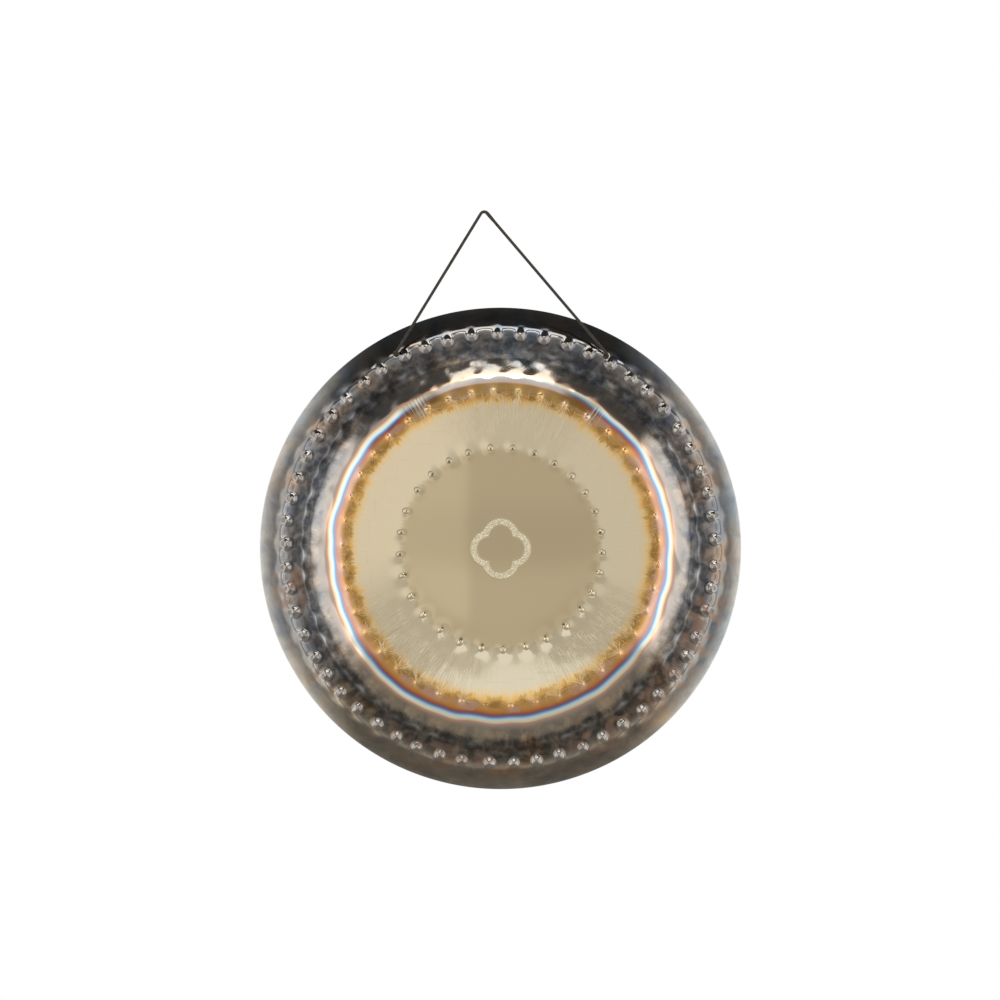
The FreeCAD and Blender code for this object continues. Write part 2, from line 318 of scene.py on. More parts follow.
def add_boss_surroundings(h, r, theta, clock, x, z):
    # a half-moon dent between each two large bosses, just inside their ring
    for n, gap in enumerate(LARGE_GAPS):
        sel, u, v = around(x, z, gap, 247.5 + 1.6 * math.sin(n * 2.4), reach=26.0)
        if 125 < gap % 360.0 < 235:
            share = 0.5
        elif math.cos(math.radians(gap)) > 0.75:
            share = 0.35
        else:
            share = 1.0
        depth = 0.40 * (0.68 + 0.32 * math.sin(n * 1.7 + 0.5)) * share
        h[sel] -= depth * np.exp(-((u - 0.035 * v * v) / 4.6) ** 2 - (v / 8.5) ** 2)
    # scalloped ridge outside the large bosses
    phase = phase_between(LARGE_BOSSES, clock)
    h += 0.34 * bump(r, 280.3, 5.2) * -np.cos(2 * np.pi * phase)
    h += 0.18 * bump(r, 287.0, 6.0) * ring_noise(theta, 57, seed=33)


def displacement(r, theta):
    """Height of the struck face over its meridian, outwards."""
    clock = np.degrees(theta) % 360.0
    x, z = r * np.sin(theta), r * np.cos(theta)
    h = np.zeros_like(r)
    add_hammering(h, r, clock, x, z)
    add_ripples(h, r, theta, clock, x, z)
    add_bosses(h, x, z)
    add_boss_surroundings(h, r, theta, clock, x, z)
    return h


def ornament_distance(x, z):
    """Distance from the ornament's stroke, below zero inside it."""
    d = np.full_like(x, 1e9)
    for lobe_x, lobe_z in LOBES:
        d = np.minimum(d, np.sqrt((x - lobe_x) ** 2 + (z - lobe_z) ** 2) - LOBE_R)
    return np.abs(d) - STROKE / 2


def surface(run, theta, side, extra=0.0):
    """Points of the plate's front or back, pushed outwards by extra."""
    r = np.interp(run, PROFILE_RUN, PROFILE_R)
    depth = np.interp(run, PROFILE_RUN, PROFILE_DEPTH)
    slope = np.radians(np.interp(run, PROFILE_RUN, PROFILE_SLOPE))
    h = displacement(r, theta)
    h = h * (1 - smooth(WIDEST_RUN - 8.0, WIDEST_RUN - 1.0, run))   # the turned rim stays true
    if side == FRONT:
        x, z = r * np.sin(theta), r * np.cos(theta)
        h = h - MARK_DEPTH * (1 - smooth(-0.9, 0.3, ornament_distance(x, z)))
    else:
        h = h - SHEET_T
    h = h + extra
    r = r + h * np.sin(slope)
    depth = depth - h * np.cos(slope)
    return np.stack([CENTRE_X + r * np.sin(theta), FACE_Y + depth, CENTRE_Z + r * np.cos(theta)],
                    axis=1)


# =============================================================================
# plate mesh: polar, halving its columns towards the middle, with two holes
# =============================================================================
COLUMNS = 1152

# (from radius, to radius, spacing along the meridian, columns)
RING_ZONES = [
    (3.5, 7, 1.75, 36), (7, 14, 1.4, 72), (14, 28, 1.27, 144), (28, 58, 1.25, 288),
    (58, 116, 2.4, 576), (116, 137, 0.85, COLUMNS), (137, 189, 2.0, COLUMNS),
    (189, 208, 0.95, COLUMNS), (208, 258, 1.45, COLUMNS), (258, 286, 0.95, COLUMNS),
]
SHOULDER_R, SHOULDER_RINGS, FLANGE_RINGS = 286, 34, 6

# rings from the cut cells to the hole: (share of the way to a circle, its radius, drop inwards)
HOLE_RINGS = ((0.28, 3.55, 0), (0.55, 3.55, 0), (0.80, 3.55, 0),
              (1.0, 3.55, 0.0), (1.0, 3.25, 0.10), (1.0, 3.05, 0.32))
HOLE_FACE_RINGS = 3         # the first rings belong to the face, the others to the cut edge
HOLE_CELLS = 6.6            # half size of the patch of cells cut away for a hole


def ring_stations():
    """(arc length, columns) of each ring, from the centre to the rim edge."""
    rings = []

    def spread(start, end, count, columns):
        rings.extend((start + (end - start) * i / count, columns) for i in range(count))

    for r0, r1, spacing, columns in RING_ZONES:
        start, end = run_at(r0), run_at(r1)
        spread(start, end, max(1, int(round((end - start) / spacing))), columns)
    spread(run_at(SHOULDER_R), WIDEST_RUN, SHOULDER_RINGS, COLUMNS)
    spread(WIDEST_RUN, END_RUN, FLANGE_RINGS, COLUMNS)
    rings.append((END_RUN, COLUMNS))
    return rings


def hole_place(clock):
    """(angle in radians, radius, arc length) of a hole whose axis meets the hinge ring."""
    lo, hi = 262.0, 281.0
    for _ in range(50):
        mid = (lo + hi) / 2
        slope = float(np.interp(run_at(mid), PROFILE_RUN, PROFILE_SLOPE))
        if mid + 5.0 * math.sin(math.radians(slope)) < HINGE_RING_R:
            lo = mid
        else:
            hi = mid
    r = (lo + hi) / 2
    return math.radians(clock), r, run_at(r)


HOLES = {name: hole_place(clock) for name, clock in HOLE_ANGLES.items()}


class MeshParts:
    """Gathers points, and faces with their material slots."""

    def __init__(self):
        self.points, self.faces, self.slots = [], [], []
        self.count = 0

    def add(self, points):
        first = self.count
        self.points.append(points)
        self.count += len(points)
        return first

    def face(self, corners, slot, flip=False):
        corners = np.asarray(corners, dtype=np.int64)
        self.faces.append(corners[:, ::-1] if flip else corners)
        self.slots.append(np.full(len(corners), slot, dtype=np.int32))


def thin_rings(rings):
    """Every other ring dropped, except near the holes and where the columns change."""
    kept = []
    for i, (run, columns) in enumerate(rings):
        r = float(np.interp(run, PROFILE_RUN, PROFILE_R))
        if (i % 2 and i != len(rings) - 1 and not 255 < r < 290
                and rings[i - 1][1] == columns == rings[i + 1][1]):
            continue
        kept.append((run, columns))
    return kept


def hole_patch(rings, hole):
    """First and last column, and first and last ring, of the cells cut away for a hole."""
    theta, r, hole_run = hole

    def column(angle):
        return (angle % (2 * np.pi)) / (2 * np.pi) * COLUMNS

    near = [k for k, (run, columns) in enumerate(rings)
            if columns == COLUMNS and abs(run - hole_run) < HOLE_CELLS]
    return (int(math.floor(column(theta - HOLE_CELLS / r))),
            int(math.ceil(column(theta + HOLE_CELLS / r))), near[0], near[-1])


def build_side(parts, side, rings):
    """Adds one surface. Returns its first rim vertex and the vertices round each hole."""
    flip = side == BACK
    starts = np.concatenate([[0], np.cumsum([columns for _, columns in rings])[:-1]])
    all_runs = np.concatenate([np.full(columns, run) for run, columns in rings])
    all_thetas = np.concatenate([np.arange(columns) / columns * 2 * np.pi
                                 for _, columns in rings])
    starts = starts + parts.add(surface(all_runs, all_thetas, side))
    centre = parts.add(surface(np.array([0.0]), np.array([0.0]), side))
    patches = {name: hole_patch(rings, hole) for name, hole in HOLES.items()}

    for k in range(len(rings) - 1):
        n_in, n_out = rings[k][1], rings[k + 1][1]
        inner, outer = starts[k], starts[k + 1]
        i = np.arange(n_in)
        j = (i + 1) % n_in
        if n_in == n_out:
            keep = np.ones(n_in, bool)
            for j0, j1, k0, k1 in patches.values():
                if k0 <= k < k1:
                    keep[j0:j1] = False
            i, j = i[keep], j[keep]
            parts.face(np.stack([inner + i, inner + j, outer + j, outer + i], axis=1), side, flip)
        else:
            o0, o1, o2 = 2 * i, 2 * i + 1, (2 * i + 2) % n_out
            for corners in ((inner + i, outer + o1, outer + o0),
                            (inner + i, inner + j, outer + o1),
                            (inner + j, outer + o2, outer + o1)):
                parts.face(np.stack(corners, axis=1), side, flip)
    i = np.arange(rings[0][1])
    j = (i + 1) % rings[0][1]
    parts.face(np.stack([np.full(len(i), centre), starts[0] + j, starts[0] + i], axis=1),
               side, flip)

    hole_loops = {}
    for name, (j0, j1, k0, k1) in patches.items():
        theta, r, hole_run = HOLES[name]
        # once round the patch, as (ring, column)
        loop = ([(k0, j) for j in range(j0, j1)] + [(k, j1) for k in range(k0, k1)]
                + [(k1, j) for j in range(j1, j0, -1)] + [(k, j0) for k in range(k1, k0, -1)])
        previous = np.array([starts[k] + j for k, j in loop])
        du = np.array([rings[k][0] for k, _ in loop]) - hole_run
        loop_theta = np.array([j / COLUMNS * 2 * np.pi for _, j in loop])
        dv = ((loop_theta - theta + np.pi) % (2 * np.pi) - np.pi) * r
        angle = np.arctan2(du, dv)
        following = np.roll(np.arange(len(loop)), -1)
        for n, (share, circle_r, drop) in enumerate(HOLE_RINGS):
            u = du * (1 - share) + circle_r * np.sin(angle) * share
            v = dv * (1 - share) + circle_r * np.cos(angle) * share
            points = surface(hole_run + u, theta + v / r, side,
                             extra=-drop if side == FRONT else drop)
            current = parts.add(points) + np.arange(len(loop))
            parts.face(np.stack([previous, previous[following], current[following], current],
                                axis=1), side if n < HOLE_FACE_RINGS else EDGE, flip)
            previous = current
        hole_loops[name] = previous
    return starts[-1], hole_loops


def add_boss_attributes(mesh):
    """Where each vertex lies against the boss rings, for the materials."""
    co = np.empty(len(mesh.vertices) * 3)
    mesh.vertices.foreach_get("co", co)
    co = co.reshape(-1, 3) * 1000.0
    x, z = co[:, 0] - CENTRE_X, co[:, 2] - CENTRE_Z
    count = len(x)

    large = np.zeros(count)
    for angle, ring_r, base, _, _ in LARGE_BOSSES:
        sel, u, v = around(x, z, angle, ring_r, reach=14.0)
        here = 1 - smooth(base * 0.75, base * 1.15, np.hypot(u, v))
        large[sel] = np.maximum(large[sel], here)

    inner = np.zeros(count)
    for angle, ring_r, _, _, _ in INNER_BOSSES:
        sel, u, v = around(x, z, angle, ring_r, reach=14.0)
        inner[sel] = np.maximum(inner[sel], np.exp(-((u + 0.6) ** 2 + v * v) / 3.6 ** 2))

    # place against the nearest small boss, and which one it is
    fan_u, fan_v, fan_id = np.full(count, 60.0), np.zeros(count), np.zeros(count)
    nearest = np.full(count, 1e9)
    for n, (angle, ring_r, _, _, _) in enumerate(SMALL_BOSSES):
        sel, u, v = around(x, z, angle, ring_r, reach=30.0)
        rho = np.hypot(u, v)
        closer = rho < nearest[sel]
        k = sel[closer]
        nearest[k] = rho[closer]
        fan_u[k], fan_v[k], fan_id[k] = u[closer], v[closer], n

    # painted highlights in the half-moon dents, strongest at the plate's two sides, where the side
    # lights reflect
    moon = np.zeros(count)
    for n, gap in enumerate(LARGE_GAPS):
        side = abs(math.sin(math.radians(gap))) ** 0.7 * (0.55 + 0.45 * math.sin(n * 1.9))
        sel, u, v = around(x, z, gap, 248.5 + 1.6 * math.sin(n * 2.4), reach=20.0)
        here = side * np.exp(-((u - 0.035 * v * v) / 2.6) ** 2 - (v / 6.5) ** 2)
        moon[sel] = np.maximum(moon[sel], here)

    # painted reflection of the dark ceiling: a dark spot on each inner boss
    pip = np.zeros(count)
    for n, (angle, ring_r, _, _, _) in enumerate(INNER_BOSSES):
        sel, u, v = around(x, z, angle, ring_r, reach=8.0)
        shift = 2.6 if 96 < angle % 360.0 < 264 else -0.3
        d2 = (u + shift) ** 2 + (v + 0.9 * math.sin(n * 2.7)) ** 2
        size = 1.45 + 0.45 * math.sin(n * 1.3)
        pip[sel] = np.maximum(pip[sel], np.exp(-(d2 / size ** 2) ** 1.5))

    add_attributes(mesh, large_boss=large, inner_boss=inner, fan_u=fan_u, fan_v=fan_v,
                   fan_id=fan_id, half_moon=moon, boss_pip=pip)


def add_attributes(mesh, **columns):
    for name, data in columns.items():
        attribute = mesh.attributes.new(name, "FLOAT", "POINT")
        attribute.data.foreach_set("value", data.astype(np.float32))


def build_plate():
    parts = MeshParts()
    rings = ring_stations()
    front_rim, front_holes = build_side(parts, FRONT, rings)
    back_rim, back_holes = build_side(parts, BACK, thin_rings(rings))

    # square rim edge, then the walls of the holes
    rim = np.arange(COLUMNS)
    pairs = [(front_rim + rim, back_rim + rim)]
    pairs += [(front_holes[name], back_holes[name]) for name in HOLES]
    for front, back in pairs:
        following = np.roll(np.arange(len(front)), -1)
        parts.face(np.stack([front, front[following], back[following], back], axis=1), EDGE)

    points = np.concatenate(parts.points) / 1000.0
    sizes = np.concatenate([np.full(len(f), f.shape[1]) for f in parts.faces])
    corners = np.concatenate([f.ravel() for f in parts.faces])
    mesh = bpy.data.meshes.new("gong_plate_hammered")
    mesh.vertices.add(len(points))
    mesh.vertices.foreach_set("co", points.ravel())
    mesh.loops.add(len(corners))
    mesh.loops.foreach_set("vertex_index", corners.astype(np.int32))
    mesh.polygons.add(len(sizes))
    first_loops = np.concatenate([[0], np.cumsum(sizes)[:-1]]).astype(np.int32)
    mesh.polygons.foreach_set("loop_start", first_loops)
    mesh.polygons.foreach_set("material_index", np.concatenate(parts.slots))
    mesh.update(calc_edges=True)
    mesh.validate(verbose=False)
    mesh.shade_smooth()
    add_boss_attributes(mesh)
    plate = bpy.data.objects.new("gong_plate_hammered", mesh)
    scene.collection.objects.link(plate)
    return plate


plate = build_plate()


# =============================================================================
# shader arithmetic
# =============================================================================
class Value:
    """A node output; each sum, product or step of it adds a node to its tree."""

    def __init__(self, net, socket):
        self.net, self.socket = net, socket

    def __add__(self, other): return self.net.math("ADD", self, other)
    def __radd__(self, other): return self.net.math("ADD", other, self)
    def __sub__(self, other): return self.net.math("SUBTRACT", self, other)
    def __rsub__(self, other): return self.net.math("SUBTRACT", other, self)
    def __mul__(self, other): return self.net.math("MULTIPLY", self, other)
    def __truediv__(self, other): return self.net.math("DIVIDE", self, other)
    def __rtruediv__(self, other): return self.net.math("DIVIDE", other, self)
    def __abs__(self): return self.net.math("ABSOLUTE", self)
    def at_least(self, other): return self.net.math("MAXIMUM", self, other)
    def at_most(self, other): return self.net.math("MINIMUM", self, other)

    def step(self, start, end, low=0.0, high=1.0):
        """Smooth step giving low at start and high at end. start may be above end."""
        if start > end:
            start, end, low, high = end, start, high, low
        node = self.net.node("ShaderNodeMapRange", self, start, end, low, high)
        node.interpolation_type = "SMOOTHSTEP"
        return Value(self.net, node.outputs[0])

    def band(self, rise, full, full_end, gone):
        """Rises from rise to full, falls from full_end to gone."""
        return self.step(rise, full) * self.step(gone, full_end)

    def sector(self, centre, full, gone):
        """For an angle in degrees: 1 within full of centre, 0 beyond gone."""
        wrapped = self.net.math("WRAP", self - centre, 180.0, -180.0)
        return abs(wrapped - 0.0).step(gone, full)      # 0.0: no offset

    def ridge(self, none, full):
        """Thin lines where a noise value crosses its middle."""
        return abs(self - 0.5).step(none, full)


class Net:
    """Adds nodes to one shader tree."""

    def __init__(self, tree):
        tree.nodes.clear()
        self.nodes, self.links = tree.nodes, tree.links

    def set(self, node, key, value):
        """Sets or links one input. A colour gets its alpha here."""
        if isinstance(value, Value):
            self.links.new(value.socket, node.inputs[key])
        elif isinstance(value, tuple):
            node.inputs[key].default_value = (*value, 1.0)
        elif value is not None:
            node.inputs[key].default_value = float(value)

    def node(self, kind, *inputs):
        node = self.nodes.new(kind)
        for i, value in enumerate(inputs):
            self.set(node, i, value)
        return node

    def math(self, operation, *inputs):
        node = self.node("ShaderNodeMath", *inputs)
        node.operation = operation
        return Value(self, node.outputs[0])

    def mix(self, amount, under, over, blend="MIX"):
        node = self.nodes.new("ShaderNodeMix")
        node.data_type = "RGBA"
        node.blend_type = blend
        for key, value in ((0, amount), (6, under), (7, over)):
            self.set(node, key, value)
        return Value(self, node.outputs[2])

    def tint(self, amount, color, by):
        """The colour, multiplied by another one as far as amount says."""
        return self.mix(amount, color, self.mix(1.0, color, by, "MULTIPLY"))

    def combine(self, x, y, z):
        return Value(self, self.node("ShaderNodeCombineXYZ", x, y, z).outputs[0])

    def grey(self, level):
        return self.combine(level, level, level)

    def coordinates(self, kind):
        return Value(self, self.nodes.new("ShaderNodeTexCoord").outputs[kind])

    def separate(self, vector):
        return [Value(self, out) for out in self.node("ShaderNodeSeparateXYZ", vector).outputs]

    def object_mm(self):
        """Object coordinates in millimetres."""
        place = self.coordinates("Object")
        node = self.node("ShaderNodeVectorMath", place)
        node.operation = "MULTIPLY"
        node.inputs[1].default_value = (1000.0, 1000.0, 1000.0)
        return Value(self, node.outputs[0])

    def noise(self, vector, scale, detail=2.0, rough=0.5, distort=0.0):
        node = self.nodes.new("ShaderNodeTexNoise")
        for key, value in (("Vector", vector), ("Scale", scale), ("Detail", detail),
                           ("Roughness", rough), ("Distortion", distort)):
            self.set(node, key, value)
        return Value(self, node.outputs["Fac"])

    def voronoi(self, vector, scale):
        node = self.nodes.new("ShaderNodeTexVoronoi")
        node.feature = "F1"
        for key, value in (("Vector", vector), ("Scale", scale), ("Randomness", 1.0)):
            self.set(node, key, value)
        return Value(self, node.outputs["Distance"])

    def ramp(self, position, stops, interpolation="LINEAR"):
        """A colour ramp; stops are (position, colour)."""
        node = self.nodes.new("ShaderNodeValToRGB")
        ramp = node.color_ramp
        ramp.interpolation = interpolation
        while len(ramp.elements) > 1:
            ramp.elements.remove(ramp.elements[-1])
        ramp.elements[0].position = stops[0][0]
        ramp.elements[0].color = (*stops[0][1], 1.0)
        for place, color in stops[1:]:
            ramp.elements.new(place).color = (*color, 1.0)
        self.set(node, 0, position)
        return Value(self, node.outputs[0])

    def curve(self, position, stops, interpolation="LINEAR"):
        """A ramp of single numbers; stops are (position, number)."""
        greys = [(place, (level,) * 3) for place, level in stops]
        ramp = self.ramp(position, greys, interpolation)
        return Value(self, self.node("ShaderNodeSeparateColor", ramp).outputs[0])

    def attribute(self, name):
        node = self.nodes.new("ShaderNodeAttribute")
        node.attribute_name = name
        return Value(self, node.outputs["Fac"])

    def relief(self, bsdf, height):
        """Bump from a height in millimetres."""
        node = self.nodes.new("ShaderNodeBump")
        node.inputs["Distance"].default_value = 0.001
        self.set(node, "Height", height)
        self.links.new(node.outputs[0], bsdf.inputs["Normal"])


def new_material(name, shader="ShaderNodeBsdfPrincipled"):
    """A material, its net, and its shader linked to the output."""
    material = bpy.data.materials.new(name)
    material.use_nodes = True
    net = Net(material.node_tree)
    output = net.nodes.new("ShaderNodeOutputMaterial")
    bsdf = net.nodes.new(shader)
    net.links.new(bsdf.outputs[0], output.inputs[0])
    return material, net, bsdf


# =============================================================================
# bronze
# =============================================================================
# The bronze materials count the radius in ring steps, 240.8 of them to the shoulder's end.
# Their ramps run from the centre to RAMP_STEPS.
RING_STEPS = 240.8
RAMP_STEPS = 250
TO_DEGREES = 180.0 / math.pi

# heat colours of the struck face, with two painted highlight rings: near white at step 170.6 along
# the crease, between blue temper colours, and paler at step 217.5 on the ridge outside the large
# bosses: (ring step, colour)
HEAT_COLORS_AND_PAINTED_RINGS = [
    (0.0, (0.60, 0.485, 0.295)), (96, (0.60, 0.485, 0.295)), (103, (0.69, 0.585, 0.395)),
    (140, (0.70, 0.585, 0.395)), (145, (0.76, 0.56, 0.30)), (149, (0.80, 0.48, 0.15)),
    (154, (0.74, 0.385, 0.095)), (158, (0.80, 0.44, 0.16)), (162, (0.76, 0.34, 0.085)),
    (164.6, (0.55, 0.17, 0.07)), (166.2, (0.30, 0.14, 0.22)), (167.6, (0.17, 0.30, 0.62)),
    # painted highlight: the near-white ring at step 170.6, along the crease
    (169.0, (0.42, 0.75, 0.93)), (170.6, (0.94, 0.98, 0.92)), (173.0, (0.90, 0.80, 0.56)),
    (174.8, (0.62, 0.34, 0.18)), (176.2, (0.44, 0.30, 0.26)), (178.0, (0.31, 0.275, 0.235)),
    (190, (0.285, 0.265, 0.245)), (195, (0.25, 0.245, 0.24)), (199, (0.175, 0.170, 0.167)),
    # painted highlight: the paler ring at step 217.5, on the ridge outside the large bosses
    (208, (0.165, 0.160, 0.155)), (213, (0.20, 0.19, 0.18)), (217.5, (0.39, 0.38, 0.365)),
    (221, (0.27, 0.26, 0.245)), (225, (0.24, 0.23, 0.215)), (232, (0.25, 0.24, 0.225)),
    (241, (0.31, 0.305, 0.285)),
]
# (ring step, roughness)
FACE_ROUGHNESS = [
    (0.0, 0.035), (96, 0.035), (104, 0.035), (143, 0.045), (158, 0.08), (172, 0.06),
    (184, 0.075), (192, 0.13), (206, 0.13), (213, 0.07), (222, 0.08), (232, 0.16),
]
# (ring step, colour)
BACK_COLORS = [
    (0.0, (0.42, 0.33, 0.20)), (120, (0.40, 0.30, 0.17)), (150, (0.36, 0.23, 0.12)),
    (165, (0.30, 0.17, 0.12)), (172, (0.28, 0.26, 0.30)), (185, (0.24, 0.22, 0.21)),
    (241, (0.20, 0.19, 0.18)),
]
# multipliers for the dark outer zone: (noise value, colour)
PATINA_TONES = [
    (0.30, (0.74, 0.77, 0.82)), (0.44, (0.91, 0.92, 0.94)), (0.54, (1.0, 0.99, 0.98)),
    (0.66, (1.10, 1.06, 1.0)), (0.80, (0.90, 0.88, 0.86)),
]
COLUMN_TONES = [(0.32, (0.66, 0.68, 0.72)), (0.50, (1.0, 1.0, 1.0)), (0.68, (1.26, 1.20, 1.10))]
RIM_TONES = [(0.34, (0.66, 0.66, 0.68)), (0.50, (1.0, 1.0, 1.0)), (0.66, (1.30, 1.25, 1.18))]
# the same for the back
BACK_TONES = [
    (0.30, (0.74, 0.75, 0.78)), (0.45, (0.90, 0.90, 0.91)), (0.60, (1.05, 1.03, 1.0)),
    (0.78, (0.86, 0.83, 0.80)),
]


def by_ring(stops):
    return [(ring / RAMP_STEPS, value) for ring, value in stops]


def plate_coordinates(net):
    """x and z from the plate's centre and the radius, in mm, then radius in steps, and place."""
    x, _, z = net.separate(net.coordinates("Object"))
    dx = (x - CENTRE_X / 1000.0) * 1000.0
    dz = (z - CENTRE_Z / 1000.0) * 1000.0
    radius = net.math("SQRT", dx * dx + dz * dz)
    return dx, dz, radius, radius * (RING_STEPS / SHOULDER_END_R), net.combine(dx, 0.0, dz)


def engraved_mark(net, dx, dz, flat):
    """Mask of the ornament's stroke, and the dots that stipple it."""
    distance = None
    for lobe_x, lobe_z in LOBES:
        ex, ez = dx - lobe_x, dz - lobe_z
        lobe = net.math("SQRT", ex * ex + ez * ez) - LOBE_R
        distance = lobe if distance is None else distance.at_most(lobe)
    stroke = (abs(distance) - STROKE / 2).step(0.35, -0.25)
    return stroke, net.voronoi(flat, scale=0.80).step(0.66, 0.30)


def front_material():
    material, net, bsdf = new_material("struck_bronze")
    dx, dz, radius, r, flat = plate_coordinates(net)
    clock = net.math("ARCTAN2", dx, dz) * TO_DEGREES
    safe_radius = radius.at_least(0.001)
    ux, uz = dx / safe_radius, dz / safe_radius

    def spokes(density, along, detail, rough, distort=0.0):
        """Noise on the unit circle, hardly changing along a radius."""
        place = net.combine(ux * density, r * along, uz * density)
        return net.noise(place, 1.0, detail, rough, distort)

    streak = spokes(26.0, along=0.020, detail=4.0, rough=0.65)
    fine_streak = spokes(95.0, along=0.035, detail=3.0, rough=0.6)
    columns = spokes(17.0, along=0.045, detail=3.0, rough=0.55, distort=0.3)
    soft = net.noise(flat, scale=0.012, detail=2.0, rough=0.5)
    fine = net.noise(flat, scale=0.35, detail=3.0, rough=0.6)
    facet = spokes(6.5, along=0.004, detail=0.0, rough=0.5)

    # ---- heat colours and their painted highlight rings: streaks fray the inner side, slow waves bend the outer side
    fray = (streak - 0.5) * 17.0 + (fine_streak - 0.5) * 10.0
    wave = (facet - 0.5) * 5.0 + (soft - 0.5) * 3.0
    frayed = r.step(162.0, 150.0)
    heat_r = r + (fray * frayed + wave * r.step(128.0, 150.0))
    # the band lies further in at both flanks and upper left, further out low left and right
    flank = (clock.sector(92.0, 26.0, 44.0) + clock.sector(-90.0, 26.0, 48.0)).at_most(1.0)
    shift = (flank * 1.8).at_least(clock.sector(-44.0, 14.0, 34.0) * 3.0)
    shift = shift - (clock.sector(-138.0, 16.0, 40.0) * 1.9
                     + clock.sector(138.0, 16.0, 40.0) * 1.1)
    heat_r = heat_r + shift * r.step(154.0, 161.0)
    color = net.ramp(heat_r * (1 / RAMP_STEPS), by_ring(HEAT_COLORS_AND_PAINTED_RINGS))

    # pinkish copper, amber, olive and lilac patches in the tempered band
    patch = net.noise(flat, scale=0.034, detail=2.0, rough=0.5, distort=0.6)
    pink = patch.step(0.49, 0.58) * r.band(152.0, 156.0, 162.0, 165.0)
    color = net.mix(pink * 0.75, color, (0.74, 0.44, 0.32))
    amber_patch = net.noise(flat, scale=0.042, detail=2.0, rough=0.5, distort=0.3)
    amber = amber_patch.step(0.50, 0.58) * heat_r.band(146.0, 149.0, 156.0, 160.0)
    color = net.mix(amber * 0.75, color, (0.50, 0.265, 0.06))
    olive = clock.sector(0.0, 24.0, 40.0) * r.band(154.0, 158.0, 166.0, 169.0)
    color = net.mix(olive * 0.6, color, (0.56, 0.39, 0.14))
    lilac = clock.sector(0.0, 21.0, 27.0) * r.band(164.5, 166.5, 170.0, 172.0)
    color = net.mix(lilac * 0.85, color, (0.66, 0.54, 0.46))
    # smoky patches inside the two holes, and a painted pink highlight at both flanks, where the
    # side lights reflect
    smoky = clock.sector(29.0, 5.0, 9.0).at_least(clock.sector(-29.0, 5.0, 9.0))
    smoky = smoky * r.band(157.0, 161.0, 170.0, 174.0)
    color = net.tint(smoky * 0.75, color, (0.42, 0.34, 0.30))
    flank_highlight = flank * heat_r.band(158.5, 161.5, 166.8, 168.4)
    # painted highlight: pink, at both flanks
    color = net.mix(flank_highlight * 0.42, color, (0.96, 0.68, 0.56))

    # ---- radial creases, painted as pale highlight lines and darker shade lines, strongest in three places
    places = clock.sector(138.0, 14.0, 36.0) + (clock.sector(-142.0, 14.0, 36.0) * 0.9
                                                + clock.sector(6.0, 16.0, 36.0) * 0.8)
    places = (places + 0.14).at_most(1.0)
    warp = (net.noise(flat, scale=0.06, detail=1.0) - 0.5) * 1.6
    crease_place = net.combine(ux * 62.0 + warp, r * 0.016, uz * 62.0 - warp)
    crease = net.noise(crease_place, 1.0, detail=1.0).ridge(0.030, 0.006)
    shade_place = net.combine(ux * 104.0 - warp, r * 0.020, uz * 104.0 + warp)
    shade = net.noise(shade_place, 1.0, detail=1.0).ridge(0.045, 0.010)
    in_field = r.band(104.0, 124.0, 150.0, 161.0)

    # ---- fans of pale lines running inwards from the small bosses
    fan_u, fan_v, fan_id = [net.attribute(name) for name in ("fan_u", "fan_v", "fan_id")]
    rho = net.math("SQRT", fan_u * fan_u + fan_v * fan_v)
    inverse = 1.0 / rho.at_least(0.5)
    outwards, sideways = fan_u * inverse, fan_v * inverse
    fan_place = net.combine(outwards * 3.4 + fan_id * 7.31, rho * 0.035, sideways * 3.4)
    fan = net.noise(fan_place, 1.0, detail=1.0).ridge(0.050, 0.012)
    inward = outwards.step(0.15, -0.55)
    fan = fan * inward * rho.band(1.6, 3.2, 8.0, 21.0)
    close_fan = net.noise(fan_place, 2.3, detail=1.0).ridge(0.07, 0.02) * rho.step(9.0, 3.0)
    fan = fan.at_least(close_fan * 0.6)
    gaps = net.noise(flat, scale=0.05, detail=1.0).step(0.44, 0.60)
    crease = crease * in_field * places * gaps
    shade = shade * in_field * places
    fan = fan * (places * 0.8 + 0.30).at_most(1.0)
    # painted shade along the creases
    color = net.mix(shade * 0.26, color, (0.42, 0.32, 0.175))
    # painted highlight along the creases, and the pale crackle lines of the fans
    color = net.mix((crease * 0.8).at_least(fan) * 0.70, color, (0.92, 0.78, 0.52))
    # faint radial brushing of the whole pale field
    brushing = (fine_streak - 0.5) * r.band(99.0, 108.0, 140.0, 150.0)
    color = net.mix(abs(brushing) * 0.5, color, (0.86, 0.76, 0.57))

    # ---- dark patina outside the tempered band
    cloudy = net.noise(flat, scale=0.040, detail=3.0, rough=0.55, distort=0.3)
    broad = net.noise(flat, scale=0.019, detail=2.0, rough=0.5, distort=0.8)
    mottle = net.noise(flat, scale=0.11, detail=3.0, rough=0.55)
    zone = r.step(176.0, 181.0)
    dark = net.mix(1.0, color, net.ramp(cloudy, PATINA_TONES), "MULTIPLY")
    dark = net.tint(r.band(178.0, 184.0, 208.0, 214.0), dark, net.ramp(columns, COLUMN_TONES))
    rim_spokes = spokes(9.0, along=0.08, detail=4.0, rough=0.6, distort=0.6)
    dark = net.tint(r.step(218.0, 226.0) * 0.6, dark, net.ramp(rim_spokes, RIM_TONES))
    # warmer low down, with brown and blue clouds
    warm = clock.sector(180.0, 35.0, 85.0) * zone
    dark = net.tint(warm * 0.85, dark, (1.0, 0.86, 0.66))
    brown = broad.step(0.54, 0.66) * r.step(182.0, 194.0)
    brown = brown * r.step(236.0, 218.0, low=0.35, high=1.0)
    dark = net.tint(brown * 0.80, dark, (1.22, 0.92, 0.70))
    blue = broad.step(0.48, 0.38) * r.step(178.0, 188.0) * (1.0 - warm * 0.7)
    dark = net.tint(blue * 0.80, dark, (0.74, 0.86, 1.02))
